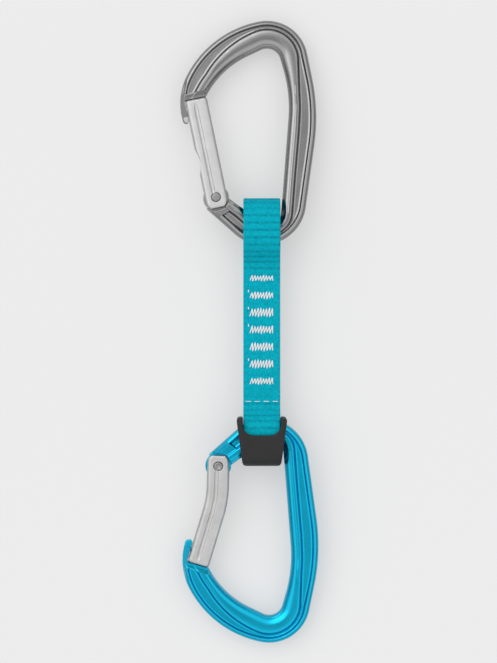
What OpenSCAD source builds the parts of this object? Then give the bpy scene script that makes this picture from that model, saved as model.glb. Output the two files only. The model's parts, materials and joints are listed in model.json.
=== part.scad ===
// Climbing quickdraw: two forged carabiners, one with a straight gate and one with a bent gate,
// joined by a sewn webbing sling. It lies flat, with the sling along Y and the upper carabiner at +Y.

/* [Carabiner frame] */
// Overall length of a carabiner, from its bar to its crown
frame_len = 102.8; // [90:0.2:124]
// Overall width of a carabiner, from its nose to the back of its spine
frame_w = 62.2; // [56:0.2:76]
// Thickness over the inner rim, where rope and webbing bear
rim_in_t = 9.6; // [8:0.1:11]
// Width of the inner rim
rim_in_w = 4.8; // [4:0.1:5.5]
// Rounding of the inner rim's edges
rim_in_r = 3.1; // [2:0.1:3.6]
// Fall of the inner rim's face towards the web
rim_in_fall = 0.5; // [0.2:0.1:1]
// Thickness over the outer rim
rim_out_t = 7.8; // [6.5:0.1:9]
// Width of the outer rim
rim_out_w = 2.5; // [2:0.1:3]
// Rounding of the outer rim's edges
rim_out_r = 1.9; // [1:0.1:2]
// Thickness of the web between the rims, and of the hinge tongue
web_t = 4.6; // [4:0.1:5.5]
// Thickness of the closing walls at the ends of the web's pocket
pocket_wall = 2.4; // [1.5:0.1:4]
// Difference in thickness between the outer rim and the closing walls
wall_step = 0.3; // [0.2:0.1:1]

/* [Frame outline] */
// Height of the gate's rivet above the bar's lowest edge
hinge_h = 21.2; // [18:0.2:24]
// Distance of the gate's rivet from the nose's outermost edge
hinge_inset = 16.5; // [14:0.5:19]
// Radius of the nose's outer curve
nose_r = 27.5; // [24:0.5:33]
// Drop of the nose curve's centre below the crown's top
nose_drop = 38; // [34:0.5:44]
// Radius of the upper arm's outer curve, which joins the nose to the crown
arm_r = 47; // [40:0.5:60]
// Radius of the crown's outer curve
crown_r = 18.7; // [16:0.1:22]
// Distance of the crown's centre from the back of the spine
crown_inset = 22.5; // [20:0.5:26]
// Radius of the spine's outer bow
spine_r = 90; // [72:1:100]
// Drop of the spine's widest point below the crown's top
spine_drop = 44.6; // [40:0.2:50]
// Radius of the heel's outer curve
heel_r = 19.6; // [17:0.2:23]
// Distance of the heel's centre from the back of the spine
heel_inset = 24.3; // [22:0.1:27]
// Distance of the hinge arm's outer edge from the rivet
hinge_out = 6.6; // [6:0.1:7.5]
// Distance of the hinge arm's inner edge from the rivet
hinge_in = 3.3; // [2.5:0.1:4]
// Band width at the spine's widest point
spine_band = 12.5; // [11:0.1:14]
// Band width at the crown
crown_band = 12.4; // [11:0.1:14]
// Band width of the bar that the webbing sits on
bar_band = 8.9; // [8:0.1:10.5]
// Radius of the heel's inner corner
heel_in_r = 5.4; // [4.5:0.1:7]
// Distance of the heel's inner corner from the back of the spine
heel_in_inset = 21.5; // [20:0.1:24]
// Radius of the spine's inner bow
spine_in_r = 65; // [55:1:80]
// Drop of the inner bow's widest point below the crown's top
spine_in_drop = 39.9; // [36:0.1:46]
// Radius of the upper arm's inner curve
arm_in_r = 40.8; // [36:0.2:41]
// Drop of the inner arm curve's centre below the crown's top
arm_in_drop = 52.8; // [50:0.2:56]
// Distance of the inner arm curve's centre from the nose's outermost edge
arm_in_reach = 48.4; // [46:0.2:52]
// Angle that the nose lip wraps round the nose curve, past its outermost point and before its round tip
lip_wrap = 17.5; // [12:0.5:24]

/* [Frame pocket] */
// Distance of the pocket's inner edge from the frame's outer edge at the nose
pocket_nose = 8; // [7.4:0.1:8.6]
// Radius of the pocket's inner edge along the upper arm
pocket_arm_r = 45.4; // [44:0.2:50]
// Distance of the pocket's inner edge from the frame's outer edge at the crown
pocket_crown = 4.7; // [4:0.1:5.6]
// Distance of the pocket's inner edge from the frame's outer edge at the spine
pocket_spine = 7.8; // [7:0.1:8.2]
// Radius of the pocket's inner edge along the spine
pocket_spine_r = 150; // [120:2:170]
// Drop of the pocket's widest point below the crown's top
pocket_spine_drop = 40.2; // [38:0.2:44]
// Distance of the pocket's inner edge from the frame's outer edge at the heel and along the hinge arm
pocket_heel = 6.3; // [5:0.1:6.4]
// Small step from the inner rim's rounded edge down to its broad ledge
ledge_step = 0.1; // [0.1:0.05:0.4]

/* [Gates] */
// Width of a gate, seen from the front
gate_w = 10.2; // [9:0.1:11]
// Thickness of a gate
gate_t = 8.4; // [7.8:0.1:9.4]
// Rounding of a gate's long edges
gate_r = 2.9; // [2:0.1:3.4]
// Depth of the crease along each face of a gate
crease_depth = 0.45; // [0.2:0.05:0.7]
// Radius of the tool that makes the crease
crease_r = 3.2; // [2:0.1:5]
// Distance of the crease from the gate's middle, towards the outside
crease_off = 0.7; // [0:0.1:1.5]
// Reach of the free end past the point nearest to the nose lip
gate_reach = 5.7; // [5:0.1:7]
// Bend of the lower gate
bend_angle = 15.5; // [10:0.5:20]
// Radius of that bend along the gate's middle
bend_r = 48; // [30:1:60]
// Straight stretch of the bent gate between the rivet and the bend
bend_start = 9; // [7:0.5:14]
// Depth of the thumb scoop on the straight gate
scoop_depth = 1; // [0.5:0.1:1.5]
// Radius of the thumb scoop
scoop_r = 17; // [12:1:25]
// Distance of the thumb scoop from the rivet
scoop_at = 18; // [15:0.5:26]
// Opening angle of both gates
gate_open = 30; // [24:1:32]

/* [Gate hinge and spring] */
// Diameter of the rivet's shank
rivet_d = 3; // [2.5:0.1:3.6]
// Diameter of the rivet's flush heads
rivet_head_d = 4.2; // [3.6:0.1:5]
// Height of the rivet's countersunk heads
rivet_head_h = 0.8; // [0.5:0.1:1]
// Radius of the gate's ears round the rivet
ear_r = 5.8; // [5.4:0.1:6.4]
// Distance of the ears' flat ends from the rivet
ear_flat = 5; // [4.5:0.1:5.6]
// Radius of the tongue under the plunger with the gate closed
cam_r = 4.4; // [4:0.1:4.8]
// Travel of the plunger as the gate opens
plunger_travel = 1.5; // [1:0.1:1.6]
// Diameter of the plunger
plunger_d = 4.2; // [3.6:0.1:4.4]
// Length of the plunger's straight part
plunger_len = 5; // [4:0.1:7]
// Length of the spring with the gate closed
spring_len = 8.4; // [7:0.1:10]
// Diameter of the spring's wire
spring_wire = 0.5; // [0.4:0.05:0.7]
// Number of turns of the spring
spring_turns = 7; // [5:1:9]

/* [Nose lock] */
// Diameter of the key's round head
key_d = 4.4; // [3.8:0.1:4.8]
// Thickness of the key's neck
key_neck = 2.6; // [2:0.1:3]
// Distance of the head's middle from the gate's free end
key_depth = 3.2; // [2.8:0.1:4]
// Distance that the key reaches past the gate's middle line, towards the inside
key_reach = 2; // [1:0.1:2.5]

/* [Sling] */
// Width of the webbing
sling_w = 16.8; // [14:0.2:17]
// Thickness of one layer of webbing
strap_t = 1.9; // [1.5:0.1:2.2]
// Gap between the two sewn layers, filled by the sewing
sewn_gap = 0.3; // [0.2:0.05:0.5]
// Distance between the outer edges of the two eyes
sling_len = 120.6; // [100:0.2:150]
// Clear height inside the upper eye
upper_eye_gap = 17.2; // [16.4:0.1:18]
// Clear height inside the lower eye
lower_eye_gap = 12.6; // [12.4:0.1:13.2]
// Length over which the upper eye closes down to the sewn stretch; the lower eye closes at the same slope
throat_len = 17; // [14:0.5:20]
// Length of the parallel stretch behind an eye's crest
eye_straight = 6.5; // [5:0.1:8]

/* [Stitching] */
// Number of bartacks
bartack_count = 7; // [5:1:7]
// Distance from one bartack to the next
bartack_pitch = 7.8; // [7:0.1:9]
// Width of a bartack, across the webbing
bartack_w = 10.8; // [8:0.2:13]
// Height of a bartack, along the webbing
bartack_h = 3.7; // [3:0.1:4.5]
// Number of zigzag teeth in a bartack
bartack_teeth = 8; // [5:1:10]
// Diameter of the sewing thread
thread_d = 0.6; // [0.4:0.05:0.8]
// Distance of the first bartack from the sling's middle
bartack_first = 23.8; // [22:0.1:26]
// Distance of the running stitch from the sling's middle
running_at = 32.2; // [29:0.1:33]
// Length of one running stitch
running_len = 2.7; // [2:0.1:3.5]
// Distance from one running stitch to the next
running_pitch = 4.1; // [3.5:0.1:5]
// Number of running stitches
running_count = 4; // [3:1:4]

/* [Keeper] */
// Overall thickness of the rubber keeper
keeper_t = 21; // [20.4:0.1:24]
// Width of the keeper across its horns
keeper_top_w = 23.2; // [21:0.2:25]
// Width of the keeper at its closed end
keeper_low_w = 17.2; // [16:0.2:19]
// Length of the keeper
keeper_len = 22.3; // [20:0.1:25]
// Thickness of the keeper's closed end
keeper_floor = 1.2; // [1.2:0.1:2.5]
// Width of the neckline cut in the front and the back
neck_w = 17.2; // [15:0.2:17.2]
// Depth of the neckline
neck_depth = 7.8; // [7:0.1:10]
// Rounding of the neckline's lower corners
neck_r = 5; // [3:0.1:7]
// Rounding of the keeper's closed end, seen from the side
keeper_round = 7; // [4:0.2:8]
// Rounding of the corners, seen from the front
keeper_corner = 1.6; // [1:0.1:2.5]
// Height of the bridge that joins the front to the back at each horn
horn_h = 1.6; // [1.2:0.1:2.6]

/* [Placing] */
// Slack between the bar and the crest of the upper eye
upper_slack = 3; // [2:0.1:4]
// Slack between the bar and the crest of the lower eye
lower_slack = 1.2; // [1.1:0.1:1.8]
// Place of the upper bar's middle across the webbing, from the webbing's middle
upper_shift = 0.6; // [0:0.1:1]
// Place of the lower bar's middle across the webbing, from the webbing's middle
lower_shift = 1.6; // [0:0.1:2]

/* [Clearances] */
// Gap between the gate and the nose lip
lip_gap = 0.35; // [0.3:0.05:0.6]
// Gap between the gate's free end and the nose
nose_gap = 0.45; // [0.4:0.05:0.7]
// Gap round the key in the gate's slot
key_gap = 0.6; // [0.5:0.05:0.7]
// Gap between the gate's ears and the frame's shoulders
shoulder_gap = 0.4; // [0.3:0.05:0.6]
// Gap on each side of the tongue
tongue_gap = 0.3; // [0.25:0.05:0.4]
// Radial clearance of the rivet in the ears
rivet_gap = 0.05; // [0.02:0.01:0.1]
// Radial clearance of the plunger in its bore
plunger_gap = 0.08; // [0.03:0.01:0.1]
// Gap between the plunger and the tongue
cam_gap = 0.12; // [0.08:0.01:0.2]
// Gap between the spring and what it bears on
spring_gap = 0.05; // [0.02:0.01:0.1]
// Gap between the keeper and the webbing
keeper_gap = 0.3; // [0.2:0.05:0.5]
// Gap between the keeper and the bar, at the end of the bar's tilt
window_gap = 0.5; // [0.4:0.1:1]
// Tilt of the lower carabiner that the keeper allows to each side
keeper_tilt = 6; // [4:1:8]

/* [Hidden] */
bartacks = [for (i = [1 : bartack_count]) str("bartack_", i)];
$fn = 64;

// Angle between points of the webbing's bends and of the tongue's edge
edge_step = 6;
// Largest distance of a rim's chord from its arc
chord_gap = 0.03;
// Angle between points of a rim's rounded edges
corner_step = 22.5;
// Angle between points of a gate's rounded edges and creases
gate_step = 15;
// Shortest straight run of a belt that is drawn
least_run = 0.01;
// More than any size across the object, for cuts that run right through
beyond = 200;

// A carabiner is drawn with the rivet's axis at the origin, its crown at +Y and its spine at +X.
top_y = frame_len - hinge_h;
nose_x = -hinge_inset;
spine_x = frame_w - hinge_inset;
hinge = [0, 0];

// Each outline is a belt that runs clockwise round wheels [x, y, radius], from the nose to the hinge.
nose_wheel = [nose_x + nose_r, top_y - nose_drop, nose_r];
crown_wheel = [spine_x - crown_inset, top_y - crown_r, crown_r];
outer_belt = [
    nose_wheel,
    touching_wheel(nose_wheel, crown_wheel, arm_r),
    crown_wheel,
    [spine_x - spine_r, top_y - spine_drop, spine_r],
    [spine_x - heel_inset, heel_r - hinge_h, heel_r],
    [hinge[0], hinge[1], hinge_out]];
inner_belt = [
    [nose_x + arm_in_reach, top_y - arm_in_drop, arm_in_r],
    [spine_x - crown_inset, top_y - crown_r, crown_r - crown_band],
    [spine_x - spine_band - spine_in_r, top_y - spine_in_drop, spine_in_r],
    [spine_x - heel_in_inset, heel_in_r + bar_band - hinge_h, heel_in_r],
    [hinge[0], hinge[1], -hinge_in]];
// Inner edge of the pocket, where the broad inner rim steps down to the web
pocket_nose_wheel = [nose_wheel[0], nose_wheel[1], nose_r - pocket_nose];
pocket_crown_wheel = [crown_wheel[0], crown_wheel[1], crown_r - pocket_crown];
pocket_belt = [
    pocket_nose_wheel,
    touching_wheel(pocket_nose_wheel, pocket_crown_wheel, pocket_arm_r),
    pocket_crown_wheel,
    [spine_x - pocket_spine - pocket_spine_r, top_y - pocket_spine_drop, pocket_spine_r],
    [outer_belt[4][0], outer_belt[4][1], heel_r - pocket_heel],
    [hinge[0], hinge[1], hinge_out - pocket_heel]];
outer_start = 180 + lip_wrap;
inner_start = 165;
pocket_start = 180;

// The gate's middle line leaves the rivet so that its outer edge just clears the nose lip.
nose_at = [outer_belt[0][0], outer_belt[0][1]];
lip_in_r = nose_r - rim_out_w;
gate_tilt = atan2(nose_at[1], nose_at[0]) - acos((lip_in_r - lip_gap - gate_w / 2) / norm(nose_at));
gate_len = nose_at[1] * cos(gate_tilt) - nose_at[0] * sin(gate_tilt) + gate_reach;
key_v = gate_len - key_depth;

// Bent gate: length of its last straight stretch, and how far its first stretch leans from the chord.
bend_x = bend_r * (1 - cos(bend_angle));
bend_y = bend_start + bend_r * sin(bend_angle);
bend_b = bend_x * sin(bend_angle) + bend_y * cos(bend_angle);
bend_tail = sqrt(bend_b * bend_b - bend_x * bend_x - bend_y * bend_y + gate_len * gate_len) - bend_b;
bend_lean = atan2(bend_x + bend_tail * sin(bend_angle), bend_y + bend_tail * cos(bend_angle));

// Plunger and spring lie on the gate's first straight stretch.
cam_rise = plunger_travel / gate_open;
cam_slope = atan(cam_rise * 180 / PI / cam_r);
cam_top_r = cam_r + plunger_travel;
slot_r = cam_top_r + shoulder_gap;
plunger_r = plunger_d / 2;
plunger_v = cam_r + plunger_r / cos(cam_slope) + cam_gap;
spring_v = plunger_v + plunger_len + spring_gap;
bore_end = spring_v + spring_len + spring_gap;
bore_d = plunger_d + 2 * plunger_gap;

// The whole object rests on the back of the keeper, centred over the origin.
mid_z = max(keeper_t / 2, upper_eye_gap / 2 + strap_t);
sling_end = sling_len / 2;
bar_x = outer_belt[4][0];
sling_left = -sling_w / 2;
upper_rise = sling_end - strap_t - upper_slack - bar_edge(sling_left - upper_shift + bar_x);
lower_rise = sling_end - strap_t - lower_slack - bar_edge(sling_left - lower_shift + bar_x);
sling_x = bar_x - (nose_x + spine_x + upper_shift + lower_shift) / 2;
sling_y = (lower_rise - upper_rise) / 2;
bar_y = (hinge_h - bar_edge(sling_left - upper_shift + bar_x)) / 2;
crown_reach = top_y + bar_y;
lying_tilt = min(
    asin((mid_z - rim_in_t / 2) / (crown_reach - crown_band + rim_in_r)),
    asin((mid_z - rim_out_t / 2) / (crown_reach - rim_out_r)));
upper_at = [sling_x + upper_shift - bar_x, sling_y + upper_rise, mid_z];
lower_at = [sling_x + lower_shift - bar_x, sling_y - lower_rise, mid_z];

// Height of the hinge arm's inner edge at a place across the frame
function bar_edge(x) = let (
    a = run_angle(inner_belt[3], inner_belt[4]),
    p = on_wheel(inner_belt[3], a)) p[1] - (x - p[0]) / tan(a);

// Belt round wheels
function span(a, b) = norm([b[0] - a[0], b[1] - a[1]]);
function heading(a, b) = atan2(b[1] - a[1], b[0] - a[0]);
function narrowing(a, b) = max(-1, min(1, (a[2] - b[2]) / span(a, b)));
function run_angle(a, b) = heading(a, b) + acos(narrowing(a, b));
function run_len(a, b) = span(a, b) * sqrt(1 - narrowing(a, b) * narrowing(a, b));
// Wheel of a larger radius that wheels a and b both touch from the inside
function touching_wheel(a, b, r) = let (
    near = r - a[2],
    c = span(a, b),
    lean = acos((near * near + c * c - (r - b[2]) * (r - b[2])) / (2 * near * c)),
    angle = heading(a, b) - lean)
    [a[0] + near * cos(angle), a[1] + near * sin(angle), r];
function on_wheel(w, angle, out = 0) = [w[0] + (w[2] + out) * cos(angle), w[1] + (w[2] + out) * sin(angle)];
function reach_angle(belt, i, start) = i > 0 ? run_angle(belt[i - 1], belt[i]) : start;
function leave_angle(belt, i, start) = i < len(belt) - 1
    ? run_angle(belt[i], belt[i + 1]) : reach_angle(belt, i, start);
function turn(belt, i, start) = (reach_angle(belt, i, start) - leave_angle(belt, i, start) + 720) % 360;
// Angle between stations on a wheel, so that a chord stays close to its arc
function station_step(r) = 2 * acos(1 - chord_gap / r);
// Stations [wheel, angle] along a belt, each one once
function stations(belt, start) = [
    for (i = [0 : len(belt) - 1])
        let (
            a = reach_angle(belt, i, start),
            t = turn(belt, i, start),
            n = t > 0 ? ceil(t / station_step(belt[i][2])) : 0,
            first = i > 0 && run_len(belt[i - 1], belt[i]) < least_run ? 1 : 0)
            for (k = [first : n]) [belt[i], a - t * k / max(n, 1)]];
function belt_points(belt, start, out) = [for (s = stations(belt, start)) on_wheel(s[0], s[1], out)];
function reversed(list) = [for (i = [len(list) - 1 : -1 : 0]) list[i]];

// Points of an arc about a centre, from one angle to another
function arc(c, r, from, to, step) = let (n = ceil(abs(to - from) / step))
    [for (k = [0 : n]) c + r * [cos(from + (to - from) * k / n), sin(from + (to - from) * k / n)]];

// Solid through rings of points, closed at both ends
module loft(rings) {
    n = len(rings[0]);
    last = len(rings) - 1;
    polyhedron(
        points = [for (ring = rings, p = ring) p],
        faces = concat(
            [[for (k = [0 : n - 1]) k]],
            [for (i = [0 : last - 1], k = [0 : n - 1])
                let (a = i * n, b = (i + 1) * n, m = (k + 1) % n) [a + k, b + k, b + m, a + m]],
            [[for (k = [n - 1 : -1 : 0]) last * n + k]]),
        convexity = 10);
}

// Sweeps a section, drawn with X pointing away from the wheels, along a belt
module sweep_belt(belt, start, section) {
    loft([
        for (s = stations(belt, start))
            [for (p = section) concat(on_wheel(s[0], s[1], p[0]), p[1])]]);
}

// Rounded edge of the inner rim, then a face that falls towards the web
inner_rim_section = let (half = rim_in_t / 2, low = half - rim_in_r)
    concat(
        arc([rim_in_r, low], rim_in_r, 90, 180, corner_step),
        arc([rim_in_r, -low], rim_in_r, 180, 270, corner_step),
        [[rim_in_w, rim_in_fall - half], [rim_in_w, half - rim_in_fall]]);
outer_rim_section = let (half = rim_out_t / 2, low = half - rim_out_r)
    concat(
        arc([-rim_out_r, -low], rim_out_r, 270, 360, corner_step),
        arc([-rim_out_r, low], rim_out_r, 0, 90, corner_step),
        [[-rim_out_w, half], [-rim_out_w, -half]]);

// Plan of the band, with its edges hidden inside the rims
module band_plan() {
    polygon(concat(
        belt_points(outer_belt, outer_start, -rim_out_w / 2),
        reversed(belt_points(inner_belt, inner_start, rim_in_w / 2))));
}

// Plan of the broad part of the inner rim, between the pocket and the rim's rounded edge
module ledge_plan() {
    polygon(concat(
        belt_points(pocket_belt, pocket_start, 0),
        reversed(belt_points(inner_belt, inner_start, rim_in_w / 2))));
}

// Tongue that the gate's ears straddle, with a cam that lifts the plunger as the gate opens.
// The cam is low under the closed gate's plunger and for a rest angle past it.
module tongue_plan(lean) {
    rest_angle = 25;
    back_angle = 60;
    rise_steps = 10;
    rotate(lean)
        polygon(concat(
            [for (k = [0 : rise_steps])
                let (a = 90 - gate_open + gate_open * k / rise_steps)
                (cam_top_r - plunger_travel * k / rise_steps) * [cos(a), sin(a)]],
            [cam_r * [cos(90 + rest_angle), sin(90 + rest_angle)]],
            arc([0, 0], cam_top_r, 90 + back_angle, 450 - gate_open - edge_step, edge_step)));
}

// Space that a gate's ears and sides sweep at the hinge, above and below the tongue, with a flat
// shoulder on the outside
module hinge_sweep(lean) {
    ear_room = ear_r + shoulder_gap;
    for (side = [-1, 1])
        translate([0, 0, side * (web_t + beyond) / 2])
            linear_extrude(beyond, center = true) {
                circle(r = ear_room);
                rotate(lean)
                    translate([-gate_w, 0.1 - ear_room])
                        square([gate_w, 2 * ear_room - 0.2]);
                for (open = [0, gate_open / 2, gate_open])
                    rotate(lean - open)
                        translate([0, gate_len / 4])
                            square([gate_w + 2 * shoulder_gap, gate_len / 2], center = true);
            }
}

// Space at the nose for the gate's free end, and the way by which the gate leaves it
module nose_space(end_lean) {
    rotate([0, 0, gate_tilt])
        translate([0, gate_len, 0])
            rotate([0, 0, end_lean])
                translate([-gate_w / 2 - lip_gap, nose_gap - gate_len / 2, -beyond / 2])
                    cube([2 * gate_w, gate_len / 2, beyond]);
}

// Key on the nose, round in the direction that the gate moves, and grown by a gap for its slot
module nose_key(gap, outward, inward, neck_end) {
    rotate([0, 0, gate_tilt]) {
        translate([-outward, key_v, 0])
            rotate([0, 90, 0])
                cylinder(d = key_d + 2 * gap, h = outward + inward);
        translate([-outward, key_v, -key_neck / 2 - gap])
            cube([outward + inward, neck_end - key_v, key_neck + 2 * gap]);
    }
}

// Forged frame: two rims, the web between them, and the closing walls of the web's pocket
module frame(lean, end_lean) {
    difference() {
        union() {
            difference() {
                union() {
                    sweep_belt(outer_belt, outer_start, outer_rim_section);
                    sweep_belt(inner_belt, inner_start, inner_rim_section);
                    linear_extrude(web_t, center = true)
                        band_plan();
                    linear_extrude(rim_in_t - 2 * rim_in_fall - 2 * ledge_step, center = true)
                        ledge_plan();
                    translate(on_wheel(nose_wheel, outer_start, -rim_out_w / 2))
                        cylinder(d = 0.92 * rim_out_w, h = rim_out_t - 2.4 * rim_out_r, center = true, $fn = 32);
                    intersection() {
                        linear_extrude(rim_out_t - wall_step, center = true)
                            band_plan();
                        union() {
                            cylinder(r = ear_r + shoulder_gap + pocket_wall, h = beyond, center = true);
                            rotate([0, 0, gate_tilt])
                                translate([0, gate_len, 0])
                                    rotate([0, 0, end_lean])
                                        translate([-2 * gate_w, 0, -beyond / 2])
                                            cube([4 * gate_w, nose_gap + pocket_wall, beyond]);
                        }
                    }
                }
                hinge_sweep(lean);
                nose_space(end_lean);
            }
            nose_key(0, gate_w / 2 - key_gap, key_reach, gate_len + nose_gap + pocket_wall / 2);
            linear_extrude(web_t, center = true)
                tongue_plan(lean);
        }
        cylinder(d = rivet_d, h = beyond, center = true);
    }
}

// Section of a gate before it is creased, and of the two tools that crease it
gate_section = let (x = gate_w / 2 - gate_r, y = gate_t / 2 - gate_r)
    concat(
        arc([x, y], gate_r, 0, 90, gate_step),
        arc([-x, y], gate_r, 90, 180, gate_step),
        arc([-x, -y], gate_r, 180, 270, gate_step),
        arc([x, -y], gate_r, 270, 360, gate_step));
function crease_section(side) = let (y = side * (gate_t / 2 + crease_r - crease_depth))
    reversed(arc([-crease_off, y], crease_r, 0, 360 - gate_step, gate_step));

// Middle line of a gate as places [x, y, angle], from its ears to its free end
function gate_line(bent, over) = bent
    ? let (n = ceil(bend_angle / station_step(bend_r)))
        concat(
            [[0, -ear_flat - over, 0]],
            [for (k = [0 : n])
                let (a = bend_angle * k / n) [bend_r * (cos(a) - 1), bend_start + bend_r * sin(a), a]],
            [[-bend_x - (bend_tail + over) * sin(bend_angle),
                bend_y + (bend_tail + over) * cos(bend_angle), bend_angle]])
    : [[0, -ear_flat - over, 0], [0, gate_len + over, 0]];

module gate_sweep(line, section) {
    loft([for (s = line) [for (p = section) [s[0] + p[0] * cos(s[2]), s[1] + p[0] * sin(s[2]), p[1]]]]);
}

module gate_bar(bent) {
    over = 1;
    difference() {
        gate_sweep(gate_line(bent, 0), gate_section);
        for (side = [-1, 1])
            gate_sweep(gate_line(bent, over), crease_section(side));
    }
}

// Gate with forked ears, a bore for plunger and spring, and a slot for the nose key
module gate(bent) {
    lean = bent ? gate_tilt - bend_lean : gate_tilt;
    slot_t = web_t + 2 * tongue_gap;
    difference() {
        rotate([0, 0, lean])
            difference() {
                intersection() {
                    gate_bar(bent);
                    union() {
                        cylinder(r = ear_r, h = beyond, center = true);
                        translate([-beyond / 2, 0, -beyond / 2])
                            cube([beyond, beyond, beyond]);
                    }
                }
                cylinder(r = slot_r, h = slot_t, center = true);
                translate([-beyond / 2, -beyond, -slot_t / 2])
                    cube([beyond, beyond, slot_t]);
                rotate([-90, 0, 0])
                    cylinder(d = bore_d, h = bore_end);
                rivet_shape(rivet_gap);
                if (!bent)
                    translate([scoop_depth - gate_w / 2 - scoop_r, scoop_at, 0])
                        cylinder(r = scoop_r, h = beyond, center = true);
            }
        nose_key(key_gap, gate_w, key_reach + key_gap, gate_len + beyond);
    }
}

// Rivet with flush countersunk heads, grown by a gap for its hole
module rivet_shape(gap) {
    half = gate_t / 2;
    cylinder(d = rivet_d + 2 * gap, h = gate_t, center = true);
    for (side = [0, 1])
        mirror([0, 0, side])
            translate([0, 0, half - rivet_head_h])
                cylinder(d1 = rivet_d + 2 * gap, d2 = rivet_head_d + 2 * gap, h = rivet_head_h);
}

module rivet() {
    rivet_shape(0);
}

// Plunger with a round tip that rides on the tongue
module plunger() {
    translate([0, plunger_v, 0])
        rotate([-90, 0, 0]) {
            cylinder(d = plunger_d, h = plunger_len);
            intersection() {
                sphere(d = plunger_d);
                translate([0, 0, -plunger_r / 2])
                    cube([plunger_d, plunger_d, plunger_r], center = true);
            }
        }
}

// Coil spring: a round wire along a helix
module spring() {
    sides = 8;
    steps = 14;
    count = spring_turns * steps;
    wire_r = spring_wire / 2;
    helix_r = plunger_r - wire_r - plunger_gap;
    rise = spring_len - spring_wire;
    loft([
        for (i = [0 : count])
            [for (k = [0 : sides - 1])
                let (a = 360 * i / steps, c = 360 * k / sides, r = helix_r + wire_r * cos(c))
                [r * cos(a), spring_v + wire_r + rise * i / count + wire_r * sin(c), r * sin(a)]]]);
}

// Height by which half an eye closes down to the sewn stretch
function eye_lift(gap) = (gap - sewn_gap) / 2;

// Side view of half an eye, from its crest at y = 0 down to the sewn stretch, with the webbing's
// middle line moved outwards
function eye_side(gap, out) = let (
    mid = (gap + strap_t) / 2,
    lift = eye_lift(gap),
    throat = throat_len * lift / eye_lift(upper_eye_gap),
    angle = 2 * atan(lift / throat),
    r = throat / 2 / sin(angle),
    shoulder_y = -mid - strap_t / 2 - eye_straight)
    concat(
        arc([shoulder_y + eye_straight, 0], mid + out, 0, 90, edge_step),
        arc([shoulder_y, mid - r], r + out, 90, 90 + angle, edge_step),
        arc([shoulder_y - throat, mid - lift + r], r - out, angle - 90, -90, edge_step));

// The same points on the other side, in the other order
function other_side(points) = reversed([for (p = points) [p[0], -p[1]]]);

// An eye at the other end of the sling
function other_end(points) = [for (p = points) [-p[0], -p[1]]];

// Whole outline of an eye, from one side of its throat round the crest to the other
function eye_outline(gap, out) = let (
    side = eye_side(gap, out),
    tip = [for (i = [1 : len(side) - 1]) side[i]])
    [for (p = concat(other_side(tip), side)) [p[0] + sling_end, p[1]]];

module sling_side() {
    half = strap_t / 2;
    difference() {
        polygon(concat(eye_outline(upper_eye_gap, half), other_end(eye_outline(lower_eye_gap, half))));
        polygon(eye_outline(upper_eye_gap, -half));
        polygon(other_end(eye_outline(lower_eye_gap, -half)));
    }
}

// Thread that runs up and down across a width
module zigzag(width, height, teeth) {
    step = width / teeth;
    half = thread_d / 2 / cos(atan(height / step));
    path = [for (i = [0 : teeth]) [i * step - width / 2, (i % 2 == 0 ? -1 : 1) * (height / 2 - half)]];
    polygon(concat(
        [for (p = path) [p[0], p[1] + half]],
        [for (p = reversed(path)) [p[0], p[1] - half]]));
}

// Stitching on the front and the back of the sewn stretch
module on_both_faces() {
    face = strap_t + sewn_gap / 2;
    for (side = [0, 1])
        translate([sling_x, sling_y, mid_z])
            mirror([0, 0, side])
                translate([0, 0, face])
                    linear_extrude(thread_d / 2)
                        children();
}

// Places a carabiner and lets it tilt about its bar until the crown lies on the floor
module carabiner_at(place, flipped) {
    translate(place)
        mirror([0, flipped ? 1 : 0, 0])
            translate([0, -bar_y, 0])
                rotate([-lying_tilt, 0, 0])
                    translate([0, bar_y, 0])
                        children();
}

module upper_body() {
    color("dimgray")
        carabiner_at(upper_at, false)
            frame(gate_tilt, 0);
}

module upper_gate() {
    color("silver")
        carabiner_at(upper_at, false)
            gate(false);
}

module upper_gate_pin() {
    color("gray")
        carabiner_at(upper_at, false)
            rivet();
}

module upper_gate_plunger() {
    color("gray")
        carabiner_at(upper_at, false)
            rotate([0, 0, gate_tilt])
                plunger();
}

module upper_gate_spring() {
    color("lightgray")
        carabiner_at(upper_at, false)
            rotate([0, 0, gate_tilt])
                spring();
}

module lower_body() {
    color("deepskyblue")
        carabiner_at(lower_at, true)
            frame(gate_tilt - bend_lean, bend_angle - bend_lean);
}

module lower_gate() {
    color("silver")
        carabiner_at(lower_at, true)
            gate(true);
}

module lower_gate_pin() {
    color("gray")
        carabiner_at(lower_at, true)
            rivet();
}

module lower_gate_plunger() {
    color("gray")
        carabiner_at(lower_at, true)
            rotate([0, 0, gate_tilt - bend_lean])
                plunger();
}

module lower_gate_spring() {
    color("lightgray")
        carabiner_at(lower_at, true)
            rotate([0, 0, gate_tilt - bend_lean])
                spring();
}

module sling() {
    color("darkturquoise")
        translate([sling_x, sling_y, mid_z])
            along_x(sling_w)
                sling_side();
}

module bartack(i) {
    color("white")
        on_both_faces()
            translate([0, bartack_first - i * bartack_pitch])
                zigzag(bartack_w, bartack_h, bartack_teeth);
}

module end_stitch() {
    color("white")
        on_both_faces()
            for (i = [0 : running_count - 1])
                translate([(i - (running_count - 1) / 2) * running_pitch, -running_at])
                    square([running_len, thread_d], center = true);
}

// Plan of the keeper, with its closed end at y = 0 and its horns at +Y
module keeper_plan() {
    c = keeper_corner;
    low = keeper_low_w / 2;
    top = keeper_top_w / 2;
    hull()
        for (side = [-1, 1]) {
            translate([side * (low - c), c])
                circle(c, $fn = 32);
            translate([side * (top - c), keeper_len - c])
                circle(c, $fn = 32);
        }
}

// Plan of the neckline, which opens at the horns' ends
module neck_plan() {
    hull()
        for (side = [-1, 1], y = [neck_r - neck_depth, neck_r])
            translate([side * (neck_w / 2 - neck_r), y])
                circle(neck_r);
}

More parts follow.
